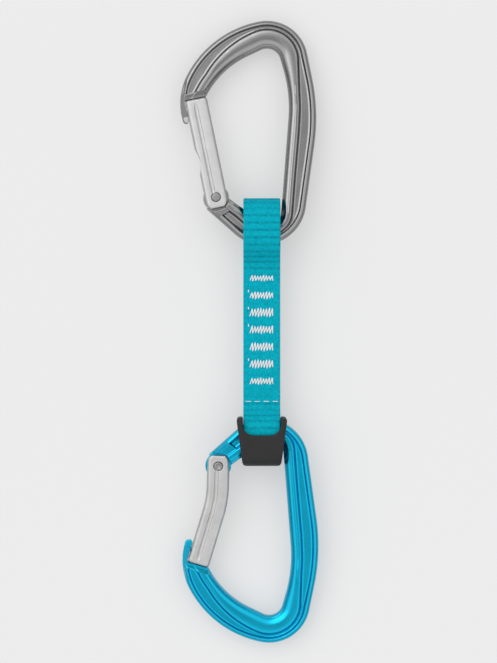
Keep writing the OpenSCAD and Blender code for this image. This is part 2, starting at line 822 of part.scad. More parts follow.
// Side view of the keeper, in the plane of Y and Z, with rounded corners at its closed end
module keeper_side() {
    half = keeper_t / 2;
    for (side = [-1, 1])
        translate([keeper_round, side * (half - keeper_round)])
            circle(keeper_round);
    translate([0, keeper_round - half])
        square([keeper_round, keeper_t - 2 * keeper_round]);
    translate([keeper_round, -half])
        square([keeper_len - keeper_round, keeper_t]);
}

// Side view of the pocket for the lower eye, with a half-round end
module round_end_side(half, depth) {
    translate([half, 0])
        circle(half);
    translate([half, -half])
        square([depth - half, 2 * half]);
}

module along_x(width) {
    rotate([90, 0, 90])
        linear_extrude(width, center = true)
            children();
}

// Rubber keeper: a pocket for the lower eye, with windows for the bar and a neckline front and back
module keeper() {
    eye_half = lower_eye_gap / 2 + strap_t + keeper_gap;
    end_y = sling_y - sling_end - keeper_gap - keeper_floor;
    window_half = rim_in_t / 2 * cos(keeper_tilt) + bar_band * sin(keeper_tilt) + window_gap;
    window_top = keeper_len - horn_h;
    color("#2b2b2d")
        translate([sling_x, end_y, mid_z])
            difference() {
                intersection() {
                    linear_extrude(keeper_t, center = true)
                        keeper_plan();
                    along_x(beyond)
                        keeper_side();
                }
                translate([0, keeper_floor, 0])
                    along_x(sling_w + 2 * keeper_gap)
                        round_end_side(eye_half, keeper_len);
                translate([-beyond / 2, keeper_floor, -window_half])
                    cube([beyond, window_top - keeper_floor, 2 * window_half]);
                translate([0, keeper_len, 0])
                    linear_extrude(beyond, center = true)
                        neck_plan();
            }
}

upper_body();
upper_gate();
upper_gate_pin();
upper_gate_plunger();
upper_gate_spring();
lower_body();
lower_gate();
lower_gate_pin();
lower_gate_plunger();
lower_gate_spring();
sling();
for (i = [0 : bartack_count - 1])
    bartack(i);
end_stitch();
keeper();
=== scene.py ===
"""Looks of a climbing quickdraw: two forged carabiners on a sewn webbing sling, seen from above."""

import json
import math

import bpy
import numpy as np
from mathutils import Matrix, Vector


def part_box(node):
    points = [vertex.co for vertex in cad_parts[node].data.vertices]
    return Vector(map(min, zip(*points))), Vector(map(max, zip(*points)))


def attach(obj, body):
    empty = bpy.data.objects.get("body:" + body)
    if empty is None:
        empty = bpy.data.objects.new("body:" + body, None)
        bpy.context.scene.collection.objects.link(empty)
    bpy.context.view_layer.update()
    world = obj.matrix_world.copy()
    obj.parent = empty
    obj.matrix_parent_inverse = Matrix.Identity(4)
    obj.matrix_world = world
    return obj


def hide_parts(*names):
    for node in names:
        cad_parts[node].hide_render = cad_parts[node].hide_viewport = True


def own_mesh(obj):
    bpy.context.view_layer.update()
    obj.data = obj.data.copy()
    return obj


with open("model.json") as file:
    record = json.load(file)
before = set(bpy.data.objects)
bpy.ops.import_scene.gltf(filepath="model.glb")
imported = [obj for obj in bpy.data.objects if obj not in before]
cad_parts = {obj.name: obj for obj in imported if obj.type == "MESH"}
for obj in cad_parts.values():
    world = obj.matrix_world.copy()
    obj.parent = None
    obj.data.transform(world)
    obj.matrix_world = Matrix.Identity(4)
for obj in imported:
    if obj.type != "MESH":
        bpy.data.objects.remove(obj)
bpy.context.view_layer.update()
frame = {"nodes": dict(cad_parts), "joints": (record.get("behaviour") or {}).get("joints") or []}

# Sizes are in millimetres and angles in degrees. They are those of the part's source, except for the
# groups that are said to be for the looks only.
MM = 0.001

# Carabiner frame
FRAME_LEN, FRAME_W = 102.8, 62.2
RIM_IN_T, RIM_IN_W = 9.6, 4.8
RIM_OUT_T, RIM_OUT_W = 7.8, 2.5
WEB_T, POCKET_WALL = 4.6, 2.4
HINGE_H, HINGE_INSET, HINGE_OUT, HINGE_IN = 21.2, 16.5, 6.6, 3.3
NOSE_R, NOSE_DROP, ARM_R, CROWN_R, CROWN_INSET = 27.5, 38.0, 47.0, 18.7, 22.5
SPINE_R, SPINE_DROP, HEEL_R, HEEL_INSET = 90.0, 44.6, 19.6, 24.3
SPINE_BAND, CROWN_BAND, BAR_BAND = 12.5, 12.4, 8.9
HEEL_IN_R, HEEL_IN_INSET, SPINE_IN_R, SPINE_IN_DROP = 5.4, 21.5, 65.0, 39.9
ARM_IN_R, ARM_IN_DROP, ARM_IN_REACH, LIP_WRAP = 40.8, 52.8, 48.4, 17.5
POCKET_NOSE, POCKET_ARM_R, POCKET_CROWN = 8.0, 45.4, 4.7
POCKET_SPINE, POCKET_SPINE_R, POCKET_SPINE_DROP, POCKET_HEEL = 7.8, 150.0, 40.2, 6.3

# Gates, hinge and nose lock
GATE_W, GATE_T = 10.2, 8.4
GATE_REACH, BEND_ANGLE, BEND_R, BEND_START = 5.7, 15.5, 48.0, 9.0
SCOOP_AT = 18.0
GATE_OPEN = 30.0
RIVET_D, RIVET_HEAD_D = 3.0, 4.2
EAR_R, EAR_FLAT = 5.8, 5.0
CAM_R, PLUNGER_TRAVEL, BORE_D, BORE_END = 4.4, 1.5, 4.36, 20.53
KEY_D, KEY_NECK, KEY_DEPTH, KEY_REACH = 4.4, 2.6, 3.2, 2.0
LIP_GAP, NOSE_GAP, KEY_GAP, SHOULDER_GAP, TONGUE_GAP = 0.35, 0.45, 0.6, 0.4, 0.3

# Sling, stitching and keeper
SLING_W, STRAP_T, SEWN_GAP, SLING_LEN = 16.8, 1.9, 0.3, 120.6
UPPER_EYE_GAP, LOWER_EYE_GAP, THROAT_LEN, EYE_STRAIGHT = 17.2, 12.6, 17.0, 6.5
BARTACK_COUNT, BARTACK_PITCH, BARTACK_FIRST = 7, 7.8, 23.8
RUNNING_AT, RUNNING_LEN, RUNNING_PITCH, RUNNING_COUNT = 32.2, 2.7, 4.1, 4
KEEPER_T, KEEPER_TOP_W, KEEPER_LOW_W, KEEPER_LEN = 21.0, 23.2, 17.2, 22.3
KEEPER_FLOOR, KEEPER_ROUND, HORN_H = 1.2, 7.0, 1.6
NECK_W, NECK_DEPTH, NECK_R = 17.2, 7.8, 5.0
KEEPER_GAP, WINDOW_HALF = 0.3, 6.2

# Frame, for the looks only. The inner rim's crest lies behind the pocket's edge, and its face falls away
# towards the pocket.
BEAD_CREST, BEAD_SLOPE, BEAD_OVAL = 0.33, 0.36, 4.0
# The pocket's walls stand a little back from their line, lean in by their draft and end in a fillet.
FLANGE_OVAL, DRAFT, LEAN_IN, EDGE_R, FOOT_R = 2.6, 0.35, 0.35, 0.5, 1.0
# Near the nose the rims' outer faces turn into steep flanks round the end of the pocket.
FLANK, FLANK_LONG, FLANK_LEN, BEAD_FLANK = 1.6, (5.0, 16.0), (2.0, 8.0), 2.2
LIP_FALL, LIP_EDGE = 0.45, 1.15
# The lip runs on past its belt's start and ends in a facet, which rises more on the grey frame.
LIP_PAST, FACET_LEN, FACET_LOW, FACET_RISE, FLAT_RISE = 1.9, 3.4, 0.5, 0.35, 0.15
# The nose comes closer to the gate than in the source, with a shallow ledge before the gate's end.
LIP_CLEAR, NOSE_CLEAR, END_FALL, END_LEDGE = 0.1, 0.25, 0.62, 1.3
# The blue frame's pocket ends further from the hinge than the grey one's.
LONG_WALL = 5.2

# Gates, for the looks only
GATE_R, GATE_END_R, EAR_EDGE = 2.0, 1.6, 1.2
LOBE_DEPTH, OUTER_LOBE, INNER_LOBE = 0.3, 3.0, 2.2
CREASE_DEPTH, CREASE_R, CREASE_OFF = 0.75, 1.0, 0.7
SCOOP_DEPTH, SCOOP_R = 1.4, 14.0

# Rounded edges of the keeper, for the looks only
KEEPER_CORNER, KEEPER_EDGE, MOUTH_EDGE, NECK_EDGE = 1.8, 1.4, 0.5, 0.9

# Webbing and thread, for the looks only
RIB_PITCH, RIB_DEPTH, SELVEDGE = 3.25, 0.26, 0.6
WARP_PITCH, SWAY_PITCH, PICK_PITCH, THREAD_LAY = 0.72, 1.62, 0.81, 0.5
SEWN_MIDDLE, SEWN_HALF, SEWN_FADE = -1.0, 29.5, 4.0
TACK_HEIGHTS = [2.7, 3.3, 4.1, 3.6, 3.9, 4.0, 3.1]
TACK_W, TACK_TEETH, TACK_LEAN = 10.4, 8, 0.16
TACK_THREAD, RUNNING_THREAD, STITCH_LIFT, STITCH_DIP = 0.25, 0.17, 0.22, 0.05
# Bartacks that start with a small loose stitch at their upper left corner, its place and its way
LOOSE_STARTS, LOOSE_AT, LOOSE_WAY = (1, 2, 3, 5), (-0.9, 2.6), (0.15, -1.3)

# Floor in metres, and levels of the sky from the horizon to the top
FLOOR_HALF, FLOOR_Z = 40.0, -0.0003
SKY = ((0.3, 0.45), (0.5, 1.0), (0.84, 1.0), (0.94, 0.5))
HORIZON, ZENITH, SKY_STRENGTH = 0.3, 0.44, 1.06
# Lamp, which shines from its place towards the origin
LAMP_STRENGTH, LAMP_SPREAD, LAMP_AT = 0.7, 60, (-0.6, 0.62, 0.9)
# Camera: the scale of the photo in millimetres a pixel, its height in pixels, the lens, and the point
# straight below it where the picture has that scale
PIXEL, PICTURE_H, LENS, SENSOR, CAMERA_AIM = 0.4563, 663, 110, 36, (-0.35, 0.1, 9.0)

# Places: the sling's middle in the row frame, and edges of a carabiner about its rivet
SLING_AT = np.array(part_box("sling")).mean(0) / MM
TOP_Y = FRAME_LEN - HINGE_H
NOSE_X = -HINGE_INSET
SPINE_X = FRAME_W - HINGE_INSET

# Size of the mesh's cells
GRAIN = 0.25


# Belts round wheels


def cosd(a):
    return math.cos(math.radians(a))


def sind(a):
    return math.sin(math.radians(a))


def touching_wheel(a, b, r):
    """Wheel of radius r that wheels a and b both touch from the inside."""
    near = r - a[2]
    c = math.hypot(b[0] - a[0], b[1] - a[1])
    lean = math.acos((near**2 + c**2 - (r - b[2]) ** 2) / (2 * near * c))
    angle = math.atan2(b[1] - a[1], b[0] - a[0]) - lean
    return (a[0] + near * math.cos(angle), a[1] + near * math.sin(angle), r)


NOSE_WHEEL = (NOSE_X + NOSE_R, TOP_Y - NOSE_DROP, NOSE_R)
CROWN_WHEEL = (SPINE_X - CROWN_INSET, TOP_Y - CROWN_R, CROWN_R)
OUTER_BELT = [
    NOSE_WHEEL,
    touching_wheel(NOSE_WHEEL, CROWN_WHEEL, ARM_R),
    CROWN_WHEEL,
    (SPINE_X - SPINE_R, TOP_Y - SPINE_DROP, SPINE_R),
    (SPINE_X - HEEL_INSET, HEEL_R - HINGE_H, HEEL_R),
    (0.0, 0.0, HINGE_OUT),
]
INNER_BELT = [
    (NOSE_X + ARM_IN_REACH, TOP_Y - ARM_IN_DROP, ARM_IN_R),
    (SPINE_X - CROWN_INSET, TOP_Y - CROWN_R, CROWN_R - CROWN_BAND),
    (SPINE_X - SPINE_BAND - SPINE_IN_R, TOP_Y - SPINE_IN_DROP, SPINE_IN_R),
    (SPINE_X - HEEL_IN_INSET, HEEL_IN_R + BAR_BAND - HINGE_H, HEEL_IN_R),
    (0.0, 0.0, -HINGE_IN),
]
POCKET_NOSE_WHEEL = (*NOSE_WHEEL[:2], NOSE_R - POCKET_NOSE)
POCKET_CROWN_WHEEL = (*CROWN_WHEEL[:2], CROWN_R - POCKET_CROWN)
POCKET_BELT = [
    POCKET_NOSE_WHEEL,
    touching_wheel(POCKET_NOSE_WHEEL, POCKET_CROWN_WHEEL, POCKET_ARM_R),
    POCKET_CROWN_WHEEL,
    (SPINE_X - POCKET_SPINE - POCKET_SPINE_R, TOP_Y - POCKET_SPINE_DROP, POCKET_SPINE_R),
    (*OUTER_BELT[4][:2], HEEL_R - POCKET_HEEL),
    (0.0, 0.0, HINGE_OUT - POCKET_HEEL),
]
OUTER_START, INNER_START, POCKET_START = 180 + LIP_WRAP, 165.0, 180.0


def run_angle(a, b):
    """Angle of the outward normal on the straight run from wheel a to wheel b."""
    c = math.hypot(b[0] - a[0], b[1] - a[1])
    narrowing = max(-1.0, min(1.0, (a[2] - b[2]) / c))
    return math.degrees(math.atan2(b[1] - a[1], b[0] - a[0]) + math.acos(narrowing))


def on_wheel(w, a):
    """Point of a wheel's edge at an angle."""
    return np.array([w[0] + w[2] * cosd(a), w[1] + w[2] * sind(a)])


def belt_parts(belt, start):
    """Arcs and straight runs of a belt that goes clockwise round wheels: each arc's wheel, first angle
    and turn, and each run's first point, direction, length and the angle of its outward normal."""
    arcs, runs = [], []
    angle = start
    for a, b in zip(belt, belt[1:]):
        leave = run_angle(a, b)
        turn = (angle - leave + 720) % 360
        arcs.append((a, angle, turn if turn < 359.9 else 0.0))
        begin = on_wheel(a, leave)
        length = float(np.linalg.norm(on_wheel(b, leave) - begin))
        runs.append((begin, np.array([sind(leave), -cosd(leave)]), length, leave))
        angle = leave
    return arcs, runs


def belt_distance(belt, start):
    """Function of x and y: distance outside a belt, which is carried on straight past its two ends."""
    far, over = 500.0, 12.0
    arcs, runs = belt_parts(belt, start)
    arcs = [arc for arc in arcs if arc[2] > 0]
    along = np.array([sind(start), -cosd(start)])
    p, last_along, length, normal = runs.pop()
    runs.append((p, last_along, length + over, normal))
    runs.insert(0, (on_wheel(belt[0], start) - over * along, along, over, start))

    def distance(x, y):
        best = np.full(np.broadcast(x, y).shape, far)
        for w, begin, turn in arcs:
            out = np.hypot(x - w[0], y - w[1]) - w[2]
            past = begin - np.degrees(np.arctan2(y - w[1], x - w[0]))
            where = (past + 1e-6) % 360 <= turn + 2e-6
            best = np.where(where & (np.abs(out) < np.abs(best)), out, best)
        for p, along, length, normal in runs:
            t = (x - p[0]) * along[0] + (y - p[1]) * along[1]
            out = (x - p[0]) * cosd(normal) + (y - p[1]) * sind(normal)
            where = (t >= -1e-6) & (t <= length + 1e-6)
            best = np.where(where & (np.abs(out) < np.abs(best)), out, best)
        return best

    return distance


outer_distance = belt_distance(OUTER_BELT, OUTER_START)
inner_distance = belt_distance(INNER_BELT, INNER_START)
pocket_distance = belt_distance(POCKET_BELT, POCKET_START)

# The gate's middle line leaves the rivet so that its outer edge just clears the nose lip.
NOSE_ANGLE = math.degrees(math.atan2(NOSE_WHEEL[1], NOSE_WHEEL[0]))
NOSE_SPAN = math.hypot(NOSE_WHEEL[0], NOSE_WHEEL[1])
LIP_ROOM = NOSE_R - RIM_OUT_W - LIP_GAP - GATE_W / 2
GATE_TILT = NOSE_ANGLE - math.degrees(math.acos(LIP_ROOM / NOSE_SPAN))
GATE_LEN = NOSE_WHEEL[1] * cosd(GATE_TILT) - NOSE_WHEEL[0] * sind(GATE_TILT) + GATE_REACH
KEY_V = GATE_LEN - KEY_DEPTH
BEND_X = BEND_R * (1 - cosd(BEND_ANGLE))
BEND_Y = BEND_START + BEND_R * sind(BEND_ANGLE)
BEND_B = BEND_X * sind(BEND_ANGLE) + BEND_Y * cosd(BEND_ANGLE)
BEND_TAIL = math.sqrt(BEND_B**2 - BEND_X**2 - BEND_Y**2 + GATE_LEN**2) - BEND_B
BEND_LEAN = math.degrees(
    math.atan2(BEND_X + BEND_TAIL * sind(BEND_ANGLE), BEND_Y + BEND_TAIL * cosd(BEND_ANGLE))
)
BENT_LEN = BEND_START + BEND_R * math.radians(BEND_ANGLE) + BEND_TAIL
BENT_TILT = GATE_TILT - BEND_LEAN
# Corners of a box round either gate, for its mesh
GATE_ROOM = (-18, -7, -4.8), (8, 50, 4.8)


# Solids as distance fields, which are below 0 inside


def smin(a, b, k):
    """Union of two fields with a fillet of about k."""
    h = np.clip(0.5 + 0.5 * (b - a) / k, 0, 1)
    return b + (a - b) * h - k * h * (1 - h)


def smax(a, b, k):
    """Intersection of two fields with a rounded edge of about k."""
    return -smin(-a, -b, k)


def turned(x, y, angle):
    """Coordinates of a point in axes turned by an angle."""
    return x * cosd(angle) + y * sind(angle), y * cosd(angle) - x * sind(angle)


def corner(p, q, r):
    """Quarter plane where p and q are both below r, with its corner rounded by r."""
    return np.hypot(np.maximum(p, 0), np.maximum(q, 0)) + np.minimum(np.maximum(p, q), 0) - r


def rounded_slab(u, z, half, r):
    """Slab of a half thickness for u above 0, with a rounded end at u = 0."""
    return corner(r - u, z - (half - r), r)


def oval_slab(u, z, half, wide, tall):
    """Slab of a half thickness for u above 0, with an end at u = 0 that is rounded to a quarter oval."""
    qu, qz = np.maximum(wide - u, 0) / wide, np.maximum(z - half + tall, 0) / tall
    oval = (np.hypot(qu, qz) - 1) * np.minimum(wide, tall)
    return np.where((qu > 0) & (qz > 0), oval, np.maximum(z - half, -u))


def box2(u, v, u0, u1, v0, v1):
    """Box between two values of u and two of v."""
    return np.maximum(np.maximum(u0 - u, u - u1), np.maximum(v0 - v, v - v1))


def key_field(x, y, z, gap, outward, inward, neck_end):
    """Nose key, round in the direction that the gate moves, and grown by a gap for its slot."""
    u, v = turned(x, y, GATE_TILT)
    across = np.maximum(-outward - u, u - inward)
    head = np.hypot(v - KEY_V, z) - KEY_D / 2 - gap
    neck = np.maximum(np.abs(z) - KEY_NECK / 2 - gap, np.maximum(KEY_V - v, v - neck_end))
    return np.maximum(np.minimum(head, neck), across)


def tongue_field(x, y, z, lean):
    """Hinge tongue with the cam that lifts the plunger as the gate opens."""
    theta = (np.degrees(np.arctan2(y, x)) - lean - 60) % 360
    top = CAM_R + PLUNGER_TRAVEL
    r = np.interp(theta, [0, 30, 55, 90, 360], [top, CAM_R, CAM_R, top, top])
    return smax(0.95 * (np.hypot(x, y) - r), np.abs(z) - WEB_T / 2, 0.3)


HINGE_END = run_angle(OUTER_BELT[4], OUTER_BELT[5])


def frame_depths(x, y):
    """Depths of a place behind the frame's outer edge, its inner edge and the pocket's inner edge."""
    a = -outer_distance(x, y)
    b = inner_distance(x, y)
    return a, b, np.maximum(-pocket_distance(x, y), RIM_IN_W - b)


def nose_share(x, y, between):
    """0 at the nose, rising to 1 between two distances from the gate's end."""
    u, v = turned(x, y, GATE_TILT)
    t = np.clip((v - GATE_LEN - between[0]) / (between[1] - between[0]), 0, 1)
    return np.where((u < 25) & (v > GATE_LEN / 2), t * t * (3 - 2 * t), 1)


def flank(az, top, out, fall=FLANK):
    """Steep face that falls from a top height with the distance out from an edge."""
    return (az - top + fall * out) / np.hypot(1, fall)


def band_field(x, y, z):
    """Forged I-section: a full inner rim, a slim outer rim, and the web sunk between them."""
    a, b, c = frame_depths(x, y)
    az = np.abs(z)
    top, low_top = RIM_IN_T / 2, RIM_OUT_T / 2
    crest = BEAD_CREST * np.clip(b + c, RIM_IN_W, 9)
    fall = 0.97 * (az - top + 0.5 * BEAD_SLOPE / crest * np.maximum(crest - c, 0) ** 2)
    bead = smax(oval_slab(b, az, top, (1 / BEAD_CREST - 1) * crest, BEAD_OVAL), fall, 0.3)
    bead = smax(bead, 0.94 * (LEAN_IN - c - DRAFT * (top - az)), EDGE_R)
    flange = oval_slab(a, az, low_top, FLANGE_OVAL, FLANGE_OVAL)
    flange = smax(flange, 0.94 * (a - RIM_OUT_W + LEAN_IN - DRAFT * (low_top - az)), EDGE_R)
    edge = flank(az, low_top, RIM_OUT_W - LEAN_IN - a)
    flange = smax(flange, edge - 3 * nose_share(x, y, FLANK_LONG), 0.4)
    bead = smax(bead, flank(az, top, BEAD_FLANK - b) - 3 * nose_share(x, y, FLANK_LEN), 0.4)
    web = np.maximum(az - WEB_T / 2, np.maximum(1.0 - a, 1.0 - b))
    return smin(smin(bead, web, FOOT_R), flange, FOOT_R)


def frame_field(lean, end_lean, hinge_wall, facet_rise):
    """Forged frame with its nose, hinge tongue and the room for its gate. Where a box has no named edge,
    it reaches past the metal."""
    lip = on_wheel(NOSE_WHEEL, OUTER_START)
    low_top, nose_wall, room = RIM_OUT_T / 2, NOSE_GAP + POCKET_WALL, EAR_R + SHOULDER_GAP
    gate_edge, lip_edge = -GATE_W / 2 - LIP_GAP, -GATE_W / 2 - LIP_CLEAR

    def field(x, y, z):
        a, b, _ = frame_depths(x, y)
        az = np.abs(z)
        inside = np.maximum(1.0 - a, 1.0 - b)
        body = band_field(x, y, z)

        # Closing walls of the pocket, at the hinge and at the nose
        rho = np.hypot(x, y)
        wall = np.maximum(np.maximum(az - low_top, inside), rho - room - hinge_wall)
        body = smin(body, wall, 0.5)
        u, v = turned(x, y, GATE_TILT)
        eu, ev = turned(u, v - GATE_LEN, end_lean)
        end = flank(az, low_top, END_FALL * (nose_wall - 0.3 - ev))
        end = smin(end, az - low_top + END_LEDGE, 0.12)
        beside = np.clip((3 - ev) / 4, 0, 1)
        fall, edge = FLANK - LIP_FALL * beside, RIM_OUT_W - LEAN_IN + LIP_EDGE * beside
        side = smax(flank(az, low_top, edge - a, fall), az - low_top, 0.4)
        wall = box2(eu, ev, gate_edge, 2 * GATE_W, 0, nose_wall)
        wall = smax(np.maximum(wall, inside), smax(side, end, 0.4), 0.1)
        body = smin(body, wall, 0.5)
        near = box2(eu, ev, gate_edge, 1.2 * GATE_W, -9, nose_wall)
        body = np.where(near < 0, smax(body, end, 0.4), body)
        wall = box2(eu, ev, -2 * GATE_W, lip_edge, -20, nose_wall)
        body = smin(body, np.maximum(np.maximum(wall, 0.1 - a), side), 0.2)
        body = np.where(wall < 0, smax(body, side, 0.2), body)

        # The rims end beside the rivet.
        past = x * sind(HINGE_END) - y * cosd(HINGE_END)
        body = np.where(rho < 16, smax(body, past, 0.4), body)

        # Room for the gate, its ears and its way in and out
        hu, hv = turned(x, y, lean)
        ears = np.minimum(rho - room, box2(hu, hv, -GATE_W, 0, -room, room))
        for opened in (0, GATE_OPEN / 2, GATE_OPEN):
            gu, gv = turned(x, y, lean - opened)
            half = GATE_W / 2 + SHOULDER_GAP
            ears = np.minimum(ears, box2(gu, gv, -half, half, 0, GATE_LEN / 2))
        body = smax(body, -np.maximum(ears, WEB_T / 2 - az), 0.3)
        way = box2(u, v, -2 * GATE_W, 1.5 * GATE_W, 0, 0.55 * GATE_LEN)
        nose = box2(eu, ev, lip_edge, 1.5 * GATE_W, -GATE_LEN / 2, NOSE_CLEAR)
        body = smax(body, -np.minimum(way, nose), 0.4)

        # The lip's end and its facet
        lip_u, lip_v = turned(lip[0] - x, lip[1] - y, OUTER_START)
        tip = box2(lip_u, lip_v, -4, 5.5, -18, -LIP_PAST)
        body = smax(body, -tip, 2.0)
        facet = box2(lip_u, lip_v, -4, 5.5, -18, FACET_LEN - LIP_PAST)
        facet = np.maximum(facet, 0.94 * (FACET_LOW + facet_rise * a - az))
        body = smax(body, -facet, 0.15)

        # The nose key and the tongue
        neck_end = GATE_LEN + NOSE_GAP + POCKET_WALL / 2
        key = key_field(x, y, z, 0, GATE_W / 2 - KEY_GAP, KEY_REACH, neck_end)
        body = smin(body, key, 0.3)
        return smin(body, tongue_field(x, y, z, lean), 0.25)

    return field


def gate_place(x, y, bent):
    """Place across a gate and along its middle line."""
    if not bent:
        return x, y
    turn = math.radians(BEND_ANGLE)
    px, py = x + BEND_R, y - BEND_START
    angle = np.arctan2(py, px)
    tu, tv = turned(px, py, BEND_ANGLE)
    u = np.where(angle < turn, np.hypot(px, py), tu) - BEND_R
    v = BEND_START + np.where(angle < turn, BEND_R * angle, BEND_R * turn + tv)
    return np.where(angle < 0, x, u), np.where(angle < 0, y, v)


def gate_field(bent):
    """Gate with two lobes and a crease on each face, forked ears, a bore and a slot for the nose key."""
    lean = BENT_TILT if bent else GATE_TILT
    length = BENT_LEN if bent else GATE_LEN

    def field(x, y, z):
        gx, gy = turned(x, y, lean)
        u, v = gate_place(gx, gy, bent)
        az = np.abs(z)
        bar = corner(np.abs(u) - (GATE_W / 2 - GATE_R), az - (GATE_T / 2 - GATE_R), GATE_R)
        crease = CREASE_R - np.hypot(u + CREASE_OFF, az - GATE_T / 2 - CREASE_R + CREASE_DEPTH)
        fade = np.clip((length - 0.5 - v) / 5, 0, 1) * np.clip((v - 0.5) / 3, 0, 1)
        outer = (u + OUTER_LOBE) / (OUTER_LOBE - CREASE_OFF)
        inner = (u - INNER_LOBE) / (INNER_LOBE + CREASE_OFF)
        off = np.where(u < -CREASE_OFF, outer, inner)
        bar = smax(bar, az - GATE_T / 2 + LOBE_DEPTH * fade * off * off, 0.3)
        bar = smax(bar, crease - 1.2 * (1 - fade) ** 2, 0.3)
        rho = np.hypot(gx, gy)
        bar = smax(bar, v - length, GATE_END_R)
        ears = np.maximum(-EAR_FLAT - v, np.where(v < 0, rho - EAR_R, -1))
        bar = smax(bar, ears, EAR_EDGE)
        if not bent:
            scoop = SCOOP_R - np.hypot(u + GATE_W / 2 + SCOOP_R - SCOOP_DEPTH, v - SCOOP_AT)
            bar = smax(bar, scoop, 0.25)
        slot_r = CAM_R + PLUNGER_TRAVEL + SHOULDER_GAP
        slot = np.maximum(az - WEB_T / 2 - TONGUE_GAP, np.minimum(rho - slot_r, v))
        bar = smax(bar, -slot, 0.25)
        bore = np.maximum(np.hypot(gx, z) - BORE_D / 2, np.maximum(-gy, gy - BORE_END))
        rivet = rho - RIVET_D / 2 - 0.15 - np.maximum(az - GATE_T / 2 + 0.8, 0)
        key = key_field(x, y, z, KEY_GAP, GATE_W, KEY_REACH + KEY_GAP, 3 * GATE_LEN)
        return smax(bar, -np.minimum(np.minimum(bore, rivet), key), 0.2)

    return field


def keeper_field(x, y, z):
    """Rubber keeper, with its closed end at y = 0 and its horns at +Y."""
    az = np.abs(z)
    low, top, half = KEEPER_LOW_W / 2, KEEPER_TOP_W / 2, KEEPER_T / 2
    side = 0.99 * (np.abs(x) - low - (top - low) * y / KEEPER_LEN)
    plan = smax(smax(side, -y, KEEPER_CORNER), y - KEEPER_LEN, KEEPER_CORNER)
    back = rounded_slab(y, az, half, KEEPER_ROUND)
    body = smax(plan, back, KEEPER_EDGE)
    eye_half = LOWER_EYE_GAP / 2 + STRAP_T + KEEPER_GAP
    pocket = rounded_slab(y - KEEPER_FLOOR, az, eye_half, eye_half)
    pocket = np.maximum(pocket, np.abs(x) - SLING_W / 2 - KEEPER_GAP)
    window = np.maximum(az - WINDOW_HALF, np.maximum(KEEPER_FLOOR - y, y - KEEPER_LEN + HORN_H))
    body = smax(body, -np.minimum(pocket, window), MOUTH_EDGE)
    neck = corner(np.abs(x) - NECK_W / 2 + NECK_R, KEEPER_LEN - NECK_DEPTH + NECK_R - y, NECK_R)
    return smax(body, -neck, NECK_EDGE)


# Meshes


def unit(rows):
    """Rows of a table as vectors of length 1."""
    return rows / np.maximum(np.linalg.norm(rows, axis=1), 1e-9)[:, None]


def lengths(line):
    """Way from the start of a line to each of its points."""
    return np.append(0, np.cumsum(np.linalg.norm(np.diff(line, axis=0), axis=1)))


def gradient(field, p):
    """Slope of a field at each point."""
    e = 0.01
    return np.stack([(field(*(p + d).T) - field(*(p - d).T)) / (2 * e) for d in e * np.eye(3)], 1)


def skin(field, low, high, step):
    """Points, quads and normals of the surface where a field is zero."""
    axes = [np.arange(a, b + step, step) for a, b in zip(low, high)]
    x, y, z = np.ix_(*axes)
    f = field(x, y, z)
    solid = f < 0
    cells = [n - 1 for n in f.shape]
    count = np.zeros(cells, np.int8)
    for i, j, k in np.ndindex(2, 2, 2):
        count += solid[i : i + cells[0], j : j + cells[1], k : k + cells[2]]
    places = np.argwhere((count > 0) & (count < 8))
    number = np.full(cells, -1)
    number[tuple(places.T)] = np.arange(len(places))
    total, hits = np.zeros((len(places), 3)), np.zeros(len(places))
    for axis in range(3):
        for edge in np.ndindex(2, 2):
            a, b = np.insert(edge, axis, 0), np.insert(edge, axis, 1)
            fa, fb = f[tuple((places + a).T)], f[tuple((places + b).T)]
            cross = (fa < 0) != (fb < 0)
            t = np.where(cross, fa / np.where(cross, fa - fb, 1), 0)
            total += cross[:, None] * (a + t[:, None] * (b - a))
            hits += cross
    points = np.array([a[0] for a in axes]) + (places + total / hits[:, None]) * step
    quads = []
    ways = np.eye(3, dtype=int)
    for axis in range(3):
        p, q = ways[axis - 2], ways[axis - 1]
        here = [slice(1, -1)] * 3
        there = [slice(1, -1)] * 3
        here[axis], there[axis] = slice(0, -1), slice(1, None)
        first, second = solid[tuple(here)], solid[tuple(there)]
        for lead in (first & ~second, second & ~first):
            at = np.argwhere(lead)
            quad = np.stack([number[tuple(c.T)] for c in (at, at + p, at + p + q, at + q)], 1)
            quads.append(quad if len(quads) % 2 == 0 else quad[:, ::-1])
    for _ in range(3):
        g = gradient(field, points)
        size = np.maximum((g * g).sum(1), 0.05)
        move = np.clip(field(*points.T) / size, -0.5 * step, 0.5 * step)
        points = points - g * move[:, None]
    return points, np.concatenate(quads), unit(gradient(field, points))


def carabiner_place(side):
    """Function that puts points and directions of a carabiner in the row frame, with its rivet on the
    hinge of its gate. The lower carabiner is the other way up."""
    hinge = next(j for j in frame["joints"] if j["name"] == side + "_gate_hinge")
    origin = np.array(hinge["pos_m"]) / MM
    sine, cosine = np.abs(hinge["axis"][1:])
    sign = -1 if side == "lower" else 1

    def place(p, direction=False):
        x, y, z = p.T
        out = np.stack([x, sign * (y * cosine + z * sine), z * cosine - y * sine], 1)
        return out if direction else out + origin

    return place


def new_object(name, data):
    """Object in the scene with a mesh, a lamp or a camera."""
    made = bpy.data.objects.new(name, data)
    bpy.context.scene.collection.objects.link(made)
    return made


